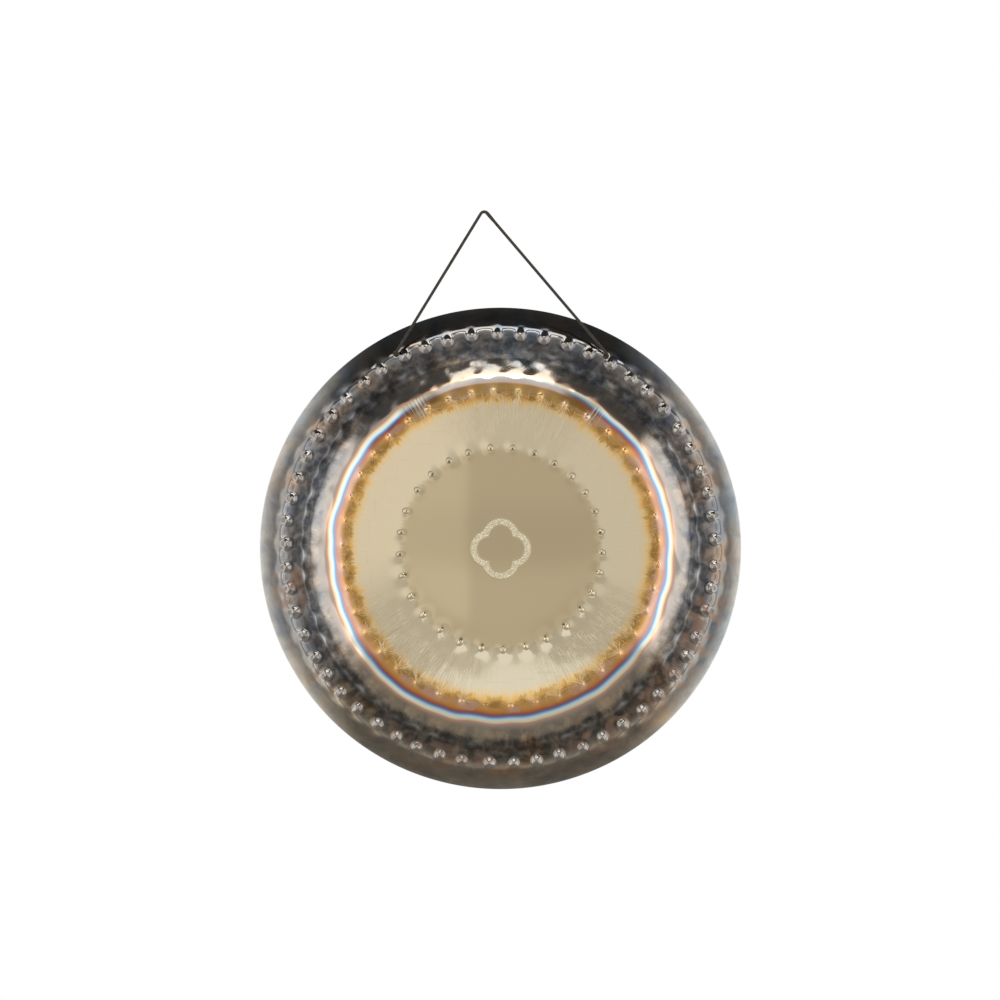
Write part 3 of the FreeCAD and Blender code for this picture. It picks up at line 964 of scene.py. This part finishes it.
    # the darkest, cloudy ring inside the large bosses, with painted highlights in the half-moon
    # dents
    scallop = net.noise(net.combine(ux * 13.0, 0.0, uz * 13.0), 1.0, detail=1.0)
    scalloped_r = r + (scallop - 0.5) * 13.0
    murk = scalloped_r.band(186.0, 193.0, 207.0, 218.0)
    cloud = net.noise(flat, scale=0.075, detail=2.5, rough=0.55, distort=0.35)
    depth = cloud.step(0.60, 0.40, low=0.15, high=1.0)
    # darker at the top of the ring
    top_darkening = clock.sector(0.0, 28.0, 50.0) * r.band(186.0, 193.0, 205.0, 211.0)
    dark = net.tint(top_darkening * 0.55, dark, (0.45, 0.43, 0.41))
    dark = net.tint(murk * depth * 0.80, dark, (0.30, 0.32, 0.345))
    wisps = cloud.step(0.55, 0.68) * r.band(180.0, 186.0, 222.0, 230.0)
    dark = net.tint(wisps * 0.5, dark, (1.55, 1.50, 1.42))
    moon = net.attribute("half_moon")
    around_glint = (1.0 - moon) * scalloped_r.band(190.0, 194.0, 201.0, 205.0)
    dark = net.tint(around_glint * 0.60, dark, (0.50, 0.50, 0.51))
    # painted highlight: paler half-moons
    dark = net.mix(moon * 0.80, dark, (0.46, 0.45, 0.44))
    pip = net.attribute("boss_pip")
    # paler metal on the large bosses
    large = net.attribute("large_boss")
    metal = net.mix(mottle * 0.7, (0.40, 0.38, 0.35), (0.30, 0.25, 0.21))
    dark = net.mix(large * 0.85, dark, metal)
    # rust blooms at the right, low right, left and low left
    rusty = clock.sector(112.0, 6.0, 11.0) + (
        clock.sector(140.0, 14.0, 28.0) * 0.75
        + (clock.sector(-101.0, 3.0, 8.0) * 0.9 + clock.sector(-164.0, 10.0, 20.0) * 0.55))
    rusty = rusty + 0.12
    bloom = net.noise(flat, scale=0.062, detail=1.5, rough=0.5, distort=0.2).step(0.44, 0.60)
    rust = bloom * rusty.at_most(1.0) * r.band(196.0, 206.0, 226.0, 236.0)
    dark = net.mix(rust * 0.62, dark, (0.27, 0.165, 0.115))
    color = net.mix(zone, color, dark)
    # painted reflection: the dark spot on each inner boss
    color = net.mix(pip * 0.9, color, (0.03, 0.022, 0.012))
    # bright scratches across the tempered band, upper left and upper right
    scratched = (clock.sector(-31.0, 2.5, 5.5) + clock.sector(35.5, 1.0, 3.6) * 0.9).at_most(1.0)
    scratches = spokes(120.0, along=0.010, detail=0.0, rough=0.5).ridge(0.075, 0.020)
    scratches = scratches * scratched * r.band(147.0, 153.0, 169.0, 173.0)
    color = net.mix(scratches * 0.62, color, (0.96, 0.88, 0.74))

    # ---- engraved ornament: stippled and pale
    stroke, dots = engraved_mark(net, dx, dz, flat)
    mark = stroke * (0.35 + dots * 0.65)
    color = net.mix(mark * 0.85, color, (0.90, 0.83, 0.62))
    net.set(bsdf, "Metallic", 1.0)
    net.set(bsdf, "Base Color", color)

    # ---- roughness: each line adds one layer's share
    rough = net.curve(r * (1 / RAMP_STEPS), by_ring(FACE_ROUGHNESS))
    rough = rough + (fine - 0.5) * 0.02
    rough = rough + (cloudy - 0.5) * zone * 0.12
    rough = rough + clock.sector(0.0, 30.0, 50.0) * r.band(188.0, 193.0, 205.0, 210.0) * 0.14
    rough = rough + mark * 0.38
    rough = rough + crease.at_least(fan) * 0.14
    rough = rough + rust * 0.20
    rough = rough - large * 0.03
    net.set(bsdf, "Roughness", rough.at_least(0.02))

    # ---- fine relief: each factor is that layer's height in mm
    height = (fine_streak - 0.5) * r.band(100.0, 112.0, 156.0, 166.0) * (places * 0.8 + 0.2)
    height = height * 0.0015 + (crease * 0.004 + fan * 0.014)
    height = height - shade * 0.004
    height = height + (mottle - 0.5) * zone * 0.035
    height = height + (fine - 0.5) * zone * 0.02
    height = height + stroke * (dots - 0.5) * 0.10
    net.relief(bsdf, height)
    return material


def back_material():
    material, net, bsdf = new_material("back_bronze")
    _, _, _, r, flat = plate_coordinates(net)
    cloudy = net.noise(flat, scale=0.05, detail=4.0, rough=0.62, distort=0.4)
    broad = net.noise(flat, scale=0.018, detail=3.0, rough=0.55, distort=0.8)
    fine = net.noise(flat, scale=0.4, detail=3.0, rough=0.6)
    wavy_r = r + (net.noise(flat, scale=0.04, detail=2.0) - 0.5) * 14.0
    color = net.ramp(wavy_r * (1 / RAMP_STEPS), by_ring(BACK_COLORS))
    color = net.mix(1.0, color, net.ramp(cloudy, BACK_TONES), "MULTIPLY")
    color = net.tint(broad.step(0.52, 0.66) * 0.5, color, (1.25, 0.85, 0.65))
    rings = net.noise(net.combine(r * 1.3, 0.0, 0.0), 1.0, detail=2.0, rough=0.6)
    net.set(bsdf, "Metallic", 1.0)
    net.set(bsdf, "Base Color", color)
    rough = 0.30 + (cloudy - 0.5) * 0.35
    rough = rough + (rings - 0.5) * 0.08
    net.set(bsdf, "Roughness", rough.at_least(0.12))
    net.relief(bsdf, (rings - 0.5) * 0.05 + (fine - 0.5) * 0.05)
    return material


def edge_material():
    material, net, bsdf = new_material("cut_edge_bronze")
    grain = net.noise(net.object_mm(), scale=0.6, detail=3.0, rough=0.6)
    color = net.ramp(grain, [(0.35, (0.50, 0.42, 0.28)), (0.65, (0.72, 0.62, 0.44))])
    net.set(bsdf, "Metallic", 1.0)
    net.set(bsdf, "Base Color", color)
    net.set(bsdf, "Roughness", 0.18 + grain * 0.25)
    return material


for material in (front_material(), back_material(), edge_material()):
    plate.data.materials.append(material)
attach(plate, "gong")
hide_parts("gong_plate")

# =============================================================================
# cord path: over the hook, into both holes, knotted behind the plate
# =============================================================================
CORD_D = 3.8
BIGHT_R = 4.85              # bend of the centreline over the hook
bight_lo, bight_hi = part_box("cord_bight")
BIGHT_Z = bight_hi.z * 1000.0 - CORD_D / 2 - BIGHT_R

KNOT_IN = 8.25              # from the hinge point to the knot, along the hole
KNOT_TURN = {"left": 35, "right": -60}
TAIL_OUT = 18.35            # least distance from the hinge point to where the tail droops
TAIL_BEND_R, TAIL_DROOP, TAIL_LEN = 9.0, 62, 11.0
PATH_STEP = 0.33


def resample(path, step):
    run = np.concatenate([[0], np.cumsum(np.linalg.norm(np.diff(path, axis=0), axis=1))])
    count = max(2, int(round(run[-1] / step)) + 1)
    places = np.linspace(0, run[-1], count)
    return np.stack([np.interp(places, run, path[:, k]) for k in range(3)], axis=1)


def unit(v):
    return v / np.linalg.norm(v)


def tight_knot():
    """An overhand knot drawn tight by moving its ends apart.

    Returns its nodes as two offsets from the pulling axis and the distance along it."""
    cord_d, size = 3.72, 2.75
    t = np.linspace(0.25, 2 * np.pi - 0.25, 600)
    trefoil = np.stack([(2 + np.cos(3 * t)) * np.cos(2 * t), (2 + np.cos(3 * t)) * np.sin(2 * t),
                        np.sin(3 * t)], axis=1) * size
    lead_in = np.array([[3.9, 8.2, 0.2], [3.9, 6, 0.4], [3.6, 3.2, 0.55],
                        [3.15, 2.0, 0.65]]) * size
    lead_out = np.array([[3.15, -2.0, -0.65], [3.6, -3.2, -0.55], [3.9, -6, -0.4],
                         [3.9, -8.2, -0.2]]) * size
    x = resample(np.concatenate([lead_in, trefoil, lead_out]), 0.9)
    n = len(x)
    seg = np.linalg.norm(np.diff(x, axis=0), axis=1).mean()
    ii, jj = np.triu_indices(n, k=int(math.ceil(1.5 * cord_d / seg)))
    end0, end1 = x[0].copy(), x[-1].copy()
    axis = (end1 - end0) / np.linalg.norm(end1 - end0)
    wait = 0
    for it in range(3000):
        # keep the ends in line with the knot, and pull while the cord isn't stretched
        rel = x[n // 3:2 * n // 3].mean(axis=0) - end0
        rel = rel - axis * (rel @ axis)
        end0, end1 = end0 + 0.04 * rel, end1 + 0.04 * rel
        v = np.linalg.norm(np.diff(x, axis=0), axis=1)
        if it > 25 and max(v[:12].mean(), v[-12:].mean()) < seg * 1.008:
            end0, end1, wait = end0 - axis * 0.06, end1 + axis * 0.06, 0
        else:
            wait += 1
            if it > 400 and wait > 80:
                break
        for _ in range(4):
            # bending stiffness
            x[1:-1] += 0.12 * (x[:-2] + x[2:] - 2 * x[1:-1])
            # push apart what overlaps
            dv = x[ii] - x[jj]
            d2 = (dv ** 2).sum(axis=1)
            m = d2 < cord_d * cord_d
            if m.any():
                a, b = ii[m], jj[m]
                dist = np.sqrt(d2[m])
                push = dv[m] * ((cord_d - dist) / np.maximum(dist, 1e-6))[:, None] * 0.35
                for q in range(3):
                    x[:, q] += np.bincount(a, push[:, q], n) - np.bincount(b, push[:, q], n)
            # hold the length, even segments and odd ones in turn
            for _ in range(3):
                for first in (0, 1):
                    k = np.arange(first, n - 1, 2)
                    v = x[k + 1] - x[k]
                    length = np.linalg.norm(v, axis=1)
                    fix = (length - seg) / length * 0.5
                    x[k] += v * fix[:, None]
                    x[k + 1] -= v * fix[:, None]
            x[0], x[-1] = end0, end1
    rel = x - x[0]
    along = rel @ axis
    off = rel - along[:, None] * axis
    far = np.where(np.linalg.norm(off, axis=1) > 1.0)[0]
    side_a = unit(np.cross(axis, [0.3, 0.2, 1.0]))
    side_b = np.cross(axis, side_a)
    local = np.stack([off @ side_a, off @ side_b, along - along[far[0]]], axis=1)
    return local[far[0] - 5:far[-1] + 6]


KNOT = tight_knot()


def side_path(side):
    """Centreline from the top of the bight to the tip of one loose end.

    Also returns the hinge point in metres, the direction into the hole and the leg's."""
    theta, _, hole_run = HOLES[side]
    slope = math.radians(float(np.interp(hole_run, PROFILE_RUN, PROFILE_SLOPE)))
    into = -np.array([math.sin(slope) * math.sin(theta), -math.cos(slope),
                      math.sin(slope) * math.cos(theta)])
    hinge = np.array([CENTRE_X + HINGE_RING_R * math.sin(theta), 0.0,
                      CENTRE_Z + HINGE_RING_R * math.cos(theta)])
    # round the hook to where the leg leaves at a tangent
    reach = hinge - np.array([0.0, 0.0, BIGHT_Z])
    sign = 1.0 if reach[0] > 0 else -1.0
    leave = (math.atan2(abs(reach[0]), reach[2])
             - math.acos(BIGHT_R / math.hypot(reach[0], reach[2])))
    arc = np.array([[sign * BIGHT_R * math.sin(a), 0.0, BIGHT_Z + BIGHT_R * math.cos(a)]
                    for a in np.linspace(0, leave, 14)])
    leg_way = unit(hinge - arc[-1])
    # down the leg and round the bend into the hole
    bend_start, bend_end = hinge - leg_way * 4.4, hinge + into * 3.7
    leg = np.linspace(arc[-1], bend_start, 260)[1:]
    t = np.linspace(0, 1, 14)[1:, None]
    bend = (1 - t) ** 2 * bend_start + 2 * t * (1 - t) * hinge + t * t * bend_end
    down = np.array([0.0, 0.0, -1.0])
    down = unit(down - into * (down @ into))
    across = np.cross(into, down)
    # the knot, turned, and mirrored on the right
    knot_x, knot_y, knot_in = KNOT.T
    if side == "right":
        knot_x = -knot_x
    turn = math.radians(KNOT_TURN[side])
    cos_t, sin_t = math.cos(turn), math.sin(turn)
    knot_down = knot_x * cos_t - knot_y * sin_t
    knot_across = knot_x * sin_t + knot_y * cos_t
    knot = (hinge + knot_down[:, None] * down + knot_across[:, None] * across
            + (KNOT_IN + knot_in)[:, None] * into)
    enter, leave_knot = KNOT_IN + knot_in[0], KNOT_IN + knot_in[-1]
    straight = np.linspace(bend_end, hinge + into * (enter - 0.4), 8)[1:]
    # the loose end droops and runs on straight
    tail = hinge + into * max(TAIL_OUT, leave_knot + 0.5)
    centre = tail + down * TAIL_BEND_R
    angles = np.radians(np.linspace(0, TAIL_DROOP, 16))[:, None]
    droop = centre - down * TAIL_BEND_R * np.cos(angles) + into * TAIL_BEND_R * np.sin(angles)
    last = math.radians(TAIL_DROOP)
    tail_way = down * math.sin(last) + into * math.cos(last)
    end = np.linspace(droop[-1], droop[-1] + tail_way * TAIL_LEN, 14)[1:]
    path = np.concatenate([arc, leg, bend, straight, knot, droop, end])
    return path, hinge / 1000.0, into, leg_way


sides = {side: side_path(side) for side in ("left", "right")}
line = resample(np.concatenate([sides["left"][0][::-1], sides["right"][0][1:]]), PATH_STEP)
for _ in range(14):
    line[1:-1] += 0.25 * (line[:-2] + line[2:] - 2 * line[1:-1])
line = resample(line, PATH_STEP)
line_run = np.concatenate([[0], np.cumsum(np.linalg.norm(np.diff(line, axis=0), axis=1))])

# a frame carried along the line without twist
tangent = np.gradient(line, axis=0)
tangent /= np.linalg.norm(tangent, axis=1)[:, None]
normal = np.zeros_like(line)
normal[0] = unit(np.cross(tangent[0], [1.0, 0.2, 0.1]))
for i in range(1, len(line)):
    normal[i] = unit(normal[i - 1] - tangent[i] * (normal[i - 1] @ tangent[i]))
binormal = np.cross(tangent, normal)

# the cord sits a little fuller just right of the hook
apex = int(np.argmax(line[:, 2]))
from_apex = line_run - line_run[apex]
fullness = 1.06 + 0.20 * smooth(0.5, 4.0, from_apex) * (1 - smooth(11.0, 19.0, from_apex))


# =============================================================================
# cord meshes and materials
# =============================================================================
STRANDS, LAY = 6, 14.0              # strands each way round, and the length of one turn
BRAID_R, WEAVE = 1.44, 0.17         # radius of the strands' path, and its swing over and under
STRAND_HALF_W, STRAND_HALF_T = 0.60, 0.27
CORE_R = 1.30
YARN, CORE, MELT = 0, 1, 2          # material slots of the cord

# melted end: (distance along from the line's tip, radius)
MELTED_END = [(-1.7, 1.55), (-1.4, 1.92), (-0.7, 2.0), (0.0, 1.9), (0.5, 1.55), (0.85, 0.95),
              (0.98, 0.05)]


def cord_piece(name, first, last, cap_at=None):
    """The braid between two nodes of the line, with a melted end at cap_at."""
    idx = np.arange(first, last + 1)
    run, full = line_run[idx], fullness[idx]
    along, side_a, side_b = tangent[idx], normal[idx], binormal[idx]
    verts, quads, slots = [], [], []
    att_run, att_across, att_id = [], [], []
    count = 0

    def tube(centres, a_dir, b_dir, a_half, b_half, tube_id, slot):
        nonlocal count
        sides_n = 6 if slot == YARN else 10
        turn = np.arange(sides_n) / sides_n * 2 * np.pi
        cos_t, sin_t = np.cos(turn), np.sin(turn)
        rows = (centres[:, None, :] + a_dir[:, None, :] * (a_half[:, None] * cos_t)[:, :, None]
                + b_dir[:, None, :] * (b_half[:, None] * sin_t)[:, :, None])
        verts.append(rows.reshape(-1, 3))
        r = np.arange(len(centres) - 1)[:, None] * sides_n
        c = np.arange(sides_n)[None, :]
        c2 = (c + 1) % sides_n
        corners = [r + c, r + sides_n + c, r + sides_n + c2, r + c2]
        quads.append(np.stack(corners, axis=-1).reshape(-1, 4) + count)
        slots.append(np.full(len(quads[-1]), slot))
        total = len(centres) * sides_n
        att_run.append(np.repeat(run, sides_n) if slot == YARN else np.zeros(total))
        att_across.append(np.tile(cos_t, len(centres)))
        att_id.append(np.full(total, float(tube_id)))
        count += total

    crossings = run * 2 * STRANDS / LAY
    for way in (1, -1):
        for k in range(STRANDS):
            angle = way * 2 * np.pi * run / LAY + 2 * np.pi * k / STRANDS
            path_r = (BRAID_R + way * WEAVE * np.cos(np.pi * crossings)) * full
            out = side_a * np.cos(angle)[:, None] + side_b * np.sin(angle)[:, None]
            round_way = -side_a * np.sin(angle)[:, None] + side_b * np.cos(angle)[:, None]
            helix = along + round_way * (way * 2 * np.pi * path_r / LAY)[:, None]
            helix /= np.linalg.norm(helix, axis=1)[:, None]
            tube(line[idx] + out * path_r[:, None], np.cross(helix, out), out,
                 STRAND_HALF_W * full, STRAND_HALF_T * full,
                 tube_id=k + (0 if way > 0 else 20), slot=YARN)
    core_r = CORE_R * full[::2]
    tube(line[idx][::2], side_a[::2], side_b[::2], core_r, core_r, tube_id=50, slot=CORE)
    if cap_at is not None:
        outwards = tangent[cap_at] * (1 if cap_at else -1)
        rows_n = len(MELTED_END)
        centres = np.array([line[cap_at] + outwards * place for place, _ in MELTED_END])
        radii = np.array([radius for _, radius in MELTED_END])
        uneven = 1 + 0.05 * np.sin(np.arange(rows_n) * 2.1)
        tube(centres, np.tile(normal[cap_at], (rows_n, 1)), np.tile(binormal[cap_at], (rows_n, 1)),
             radii * uneven, radii * (2 - uneven), tube_id=60, slot=MELT)

    mesh = bpy.data.meshes.new(name)
    mesh.from_pydata((np.concatenate(verts) / 1000.0).tolist(), [],
                     np.concatenate(quads).tolist())
    mesh.polygons.foreach_set("material_index", np.concatenate(slots).astype(np.int32))
    mesh.update()
    mesh.shade_smooth()
    add_attributes(mesh, cord_s=np.concatenate(att_run), cord_v=np.concatenate(att_across),
                   cord_id=np.concatenate(att_id))
    piece = bpy.data.objects.new(name, mesh)
    scene.collection.objects.link(piece)
    for cord_material in CORD_MATERIALS:
        mesh.materials.append(cord_material)
    return piece


def yarn_material():
    material, net, bsdf = new_material("braided_cord")
    run, across, tube_id = [net.attribute(name) for name in ("cord_s", "cord_v", "cord_id")]
    place = net.object_mm()
    tone = net.noise(net.combine(tube_id * 3.7, run * 0.05, 0.0), 1.0, detail=2.0, rough=0.5)
    grime = net.noise(place, scale=0.035, detail=3.0, rough=0.6)
    fibre = net.noise(net.combine(across * 3.2, run * 0.9, tube_id * 5.1), 1.0,
                      detail=3.0, rough=0.6, distort=0.4)
    fuzz = net.noise(place, scale=5.0, detail=2.0, rough=0.7)
    color = net.ramp(tone, [(0.30, (0.038, 0.029, 0.022)), (0.50, (0.054, 0.042, 0.032)),
                            (0.70, (0.072, 0.056, 0.043))])
    color = net.mix(grime.step(0.42, 0.66) * 0.5, color, (0.050, 0.045, 0.040))
    # painted highlight: paler fibres, a sheen along the yarn
    color = net.mix(fibre.step(0.45, 0.72) * 0.5, color, (0.108, 0.085, 0.066))
    color = net.mix(fibre.step(0.46, 0.26) * 0.6, color, (0.020, 0.017, 0.014))
    net.set(bsdf, "Base Color", color)
    net.set(bsdf, "Roughness", 0.62 + (fuzz - 0.5) * 0.25)
    net.set(bsdf, "Specular IOR Level", 0.22)
    net.set(bsdf, "Sheen Weight", 0.08)
    net.set(bsdf, "Sheen Roughness", 0.5)
    net.relief(bsdf, fibre * 0.09 + fuzz * 0.02)
    return material


def core_material():
    material, net, bsdf = new_material("cord_core")
    grain = net.noise(net.object_mm(), scale=2.0, detail=2.0, rough=0.6)
    color = net.ramp(grain, [(0.3, (0.014, 0.012, 0.010)), (0.7, (0.030, 0.026, 0.022))])
    net.set(bsdf, "Base Color", color)
    net.set(bsdf, "Roughness", 0.7 + grain * 0.2)
    return material


def melt_material():
    material, net, bsdf = new_material("melted_cord_end")
    grain = net.noise(net.object_mm(), scale=1.1, detail=3.0, rough=0.6)
    color = net.ramp(grain, [(0.3, (0.010, 0.008, 0.007)), (0.7, (0.040, 0.032, 0.026))])
    net.set(bsdf, "Base Color", color)
    net.set(bsdf, "Roughness", 0.25 + grain * 0.3)
    net.relief(bsdf, grain * 0.25)
    return material


CORD_MATERIALS = (yarn_material(), core_material(), melt_material())

# the legs are divided from the lower pieces at this height, in front of the knots
SPLIT_Z = -96.0


def split_node(nodes):
    return int(np.argmin(np.abs(nodes[:, 2] - SPLIT_Z) + np.abs(nodes[:, 1]) * 5))


cut_left = split_node(line[:apex])
cut_right = apex + split_node(line[apex:])
tip = len(line) - 1
upper = cord_piece("cord_braid_upper", cut_left, cut_right)
lower = {
    "left": cord_piece("cord_braid_lower_left", 0, cut_left, cap_at=0),
    "right": cord_piece("cord_braid_lower_right", cut_right, tip, cap_at=tip),
}

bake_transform(upper)
for side, piece in lower.items():
    _, hinge, into, leg_way = sides[side]
    tuple(hinge - leg_way * 0.004)
    tuple(hinge + into * 0.003)
    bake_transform(piece)
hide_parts("cord_bight", "cord_leg_left", "cord_leg_right")
for side, piece in lower.items():
    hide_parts(f"cord_lead_{side}", f"stopper_knot_{side}", f"cord_tail_{side}")

# =============================================================================
# studio: a procedural room, its brightness given by direction
# =============================================================================
# reach of the low card by clock angle, at (angle - 130) / 100: (position, tenths of a degree / 100)
CARD_EDGE = [
    (0.0, 1), (0.10, 0.75), (0.15, 0.57), (0.24, 0.53), (0.28, 0.45), (0.31, 0.43), (0.54, 0.42),
    (0.57, 0.47), (0.60, 0.53), (0.70, 0.50), (0.78, 0.62), (0.84, 1),
]


def build_world():
    """Light by angle off the -Y axis (off_axis) and clock angle round it (clock)."""
    world = bpy.data.worlds.new("studio")
    scene.world = world
    world.use_nodes = True
    net = Net(world.node_tree)
    x, y, z = net.separate(net.coordinates("Generated"))
    cosine = (y * -1.0).at_least(-1.0).at_most(1.0)
    off_axis = net.math("ARCCOSINE", cosine) * TO_DEGREES
    clock = net.math("ARCTAN2", x, z) * TO_DEGREES
    clock = clock * 1.0         # 1.0: clock angles not stretched

    below = clock.sector(180.0, 50.0, 80.0)
    beside = clock.sector(90.0, 28.0, 42.0) + clock.sector(-90.0, 27.0, 42.0)

    # near the axis: a mid wall, two tones in the middle, uneven further out
    centre = x.step(-0.0135, -0.0175, low=0.640, high=0.785)
    centre = centre + z.step(-0.006, -0.022) * 0.10
    centre = centre + z.step(0.004, 0.024) * 0.06
    wall = 0.73 + clock.sector(74.0, 30.0, 52.0) * 0.075
    wall = wall + clock.sector(-64.0, 30.0, 62.0) * 0.21
    wall = wall - clock.sector(140.0, 12.0, 30.0) * 0.13
    wall = wall - clock.sector(-140.0, 12.0, 34.0) * 0.08
    level = net.mix(off_axis.step(2.45, 2.95), net.grey(centre), net.grey(wall))
    # dimmer between that wall and the ring light
    ring = 0.50 + clock.sector(-50.0, 20.0, 60.0) * 0.40
    ring = ring + clock.sector(50.0, 20.0, 60.0) * 0.25
    level = net.mix(off_axis.step(6.2, 8.5), level, (0.46, 0.46, 0.46))
    # ring light, brightest at the top
    ring = ring + clock.sector(0.0, 18.0, 24.0) * 0.22
    level = net.mix(off_axis.step(14.0, 18.0), level, net.grey(ring))
    # beyond it: dim room, lighter low down
    room = 0.16 + below * 0.42
    level = net.mix(off_axis.step(26.5, 29.5), level, net.grey(room))

    # white card low in front, its edge wavering
    waver = net.noise(net.combine(x * 40.0, 0.0, z * 40.0), 1.0, detail=1.0)
    edge = off_axis + (waver - 0.5) * 0.7
    full_turn = clock + clock.step(0.5, -0.5) * 360.0
    reach = net.curve((full_turn - 130.0) * 0.01, CARD_EDGE, "EASE")
    past = edge - reach * 10.0
    card = past.step(-0.06, 0.10) * off_axis.step(10.0, 8.2)
    level = net.mix(card, level, (1.02, 1.08, 1.17))

    # boxes at both sides, with a glow round them
    flank_highlight = beside * (off_axis.step(10.0, 15.0) * off_axis.step(38.0, 36.4))
    level = net.mix(flank_highlight, level, (1.10, 1.10, 1.10))
    box = beside * (off_axis.step(28.0, 30.4) * off_axis.step(35.4, 32.4))
    level = net.mix(box, level, (2.10, 2.13, 2.20))

    # dimmer past the boxes, then the side walls and the far room
    dim = 0.38 + (below * 0.08 + beside * 0.60)
    level = net.mix(off_axis.step(37.5, 40.0), level, net.grey(dim))
    walls = clock.sector(90.0, 34.0, 62.0) + clock.sector(-90.0, 30.0, 58.0)
    far = 0.10 + below * 0.26
    far = far + walls * (off_axis.step(60.0, 130.0, low=0.50, high=1.45)
                         + off_axis.step(74.0, 62.0) * 0.95)
    ceiling = clock.sector(-1.0, 44.0, 50.0) * 0.35
    far = far * (1.0 - ceiling)
    level = net.mix(off_axis.step(49.0, 53.0), level, net.grey(far))

    # two light strips overhead
    near_strip = clock.sector(0.0, 14.0, 22.0) * off_axis.band(24.6, 25.4, 31.2, 32.0)
    far_strip = clock.sector(0.0, 27.0, 33.0) * off_axis.band(39.5, 41.0, 56.0, 59.0)
    level = net.mix(near_strip, level, (3.15, 3.12, 3.04))
    level = net.mix(far_strip, level, (2.5, 2.5, 2.5))

    # the camera itself sees plain white
    room_light = net.nodes.new("ShaderNodeBackground")
    net.set(room_light, "Color", level)
    net.set(room_light, "Strength", 1.0)
    backdrop = net.nodes.new("ShaderNodeBackground")
    net.set(backdrop, "Color", (1, 1, 1))
    light_path = net.nodes.new("ShaderNodeLightPath")
    switch = net.nodes.new("ShaderNodeMixShader")
    net.links.new(light_path.outputs["Is Camera Ray"], switch.inputs[0])
    net.links.new(room_light.outputs[0], switch.inputs[1])
    net.links.new(backdrop.outputs[0], switch.inputs[2])
    output = net.nodes.new("ShaderNodeOutputWorld")
    net.links.new(switch.outputs[0], output.inputs[0])


def build_floor():
    """Pale disc under the hanging gong, seen by the camera only."""
    bpy.ops.mesh.primitive_circle_add(vertices=96, radius=1.1, fill_type="NGON",
                                      location=(CENTRE_X / 1000, 0.25, -1.16))
    floor = bpy.context.object
    floor.name = "floor"
    material, net, emission = new_material("pale_floor", "ShaderNodeEmission")
    net.set(emission, "Color", (0.965, 0.965, 0.96))
    net.set(emission, "Strength", 1.0)
    floor.data.materials.append(material)
    floor.visible_glossy = False
    floor.visible_diffuse = False
    floor.visible_shadow = False


build_world()
build_floor()

# =============================================================================
# camera: straight on, long lens
# =============================================================================
CAMERA_DISTANCE = 10.0      # metres in front of y = 0
FRAME_WIDTH = 1.2666113     # metres across the picture at the plate's widest ring
CAMERA_SHIFT_X = -0.633306  # from the plate's centre, mm
CAMERA_RISE = 61.303987     # from the plate's centre, mm
SENSOR_WIDTH = 36.0


def build_camera():
    data = bpy.data.cameras.new("camera")
    camera = bpy.data.objects.new("camera", data)
    scene.collection.objects.link(camera)
    widest_y = (FACE_Y + PROFILE_DEPTH[WIDEST]) / 1000.0
    data.sensor_width = SENSOR_WIDTH
    data.lens = SENSOR_WIDTH * (CAMERA_DISTANCE + widest_y) / FRAME_WIDTH
    data.clip_start, data.clip_end = 0.1, 60.0
    camera.location = ((CENTRE_X + CAMERA_SHIFT_X) / 1000, -CAMERA_DISTANCE,
                       (CENTRE_Z + CAMERA_RISE) / 1000)
    camera.rotation_euler = (math.pi / 2, 0, 0)
    scene.camera = camera


build_camera()
scene.view_settings.view_transform = "Standard"
scene.view_settings.look = "None"
scene.view_settings.exposure = 0.0
scene.view_settings.gamma = 1.0
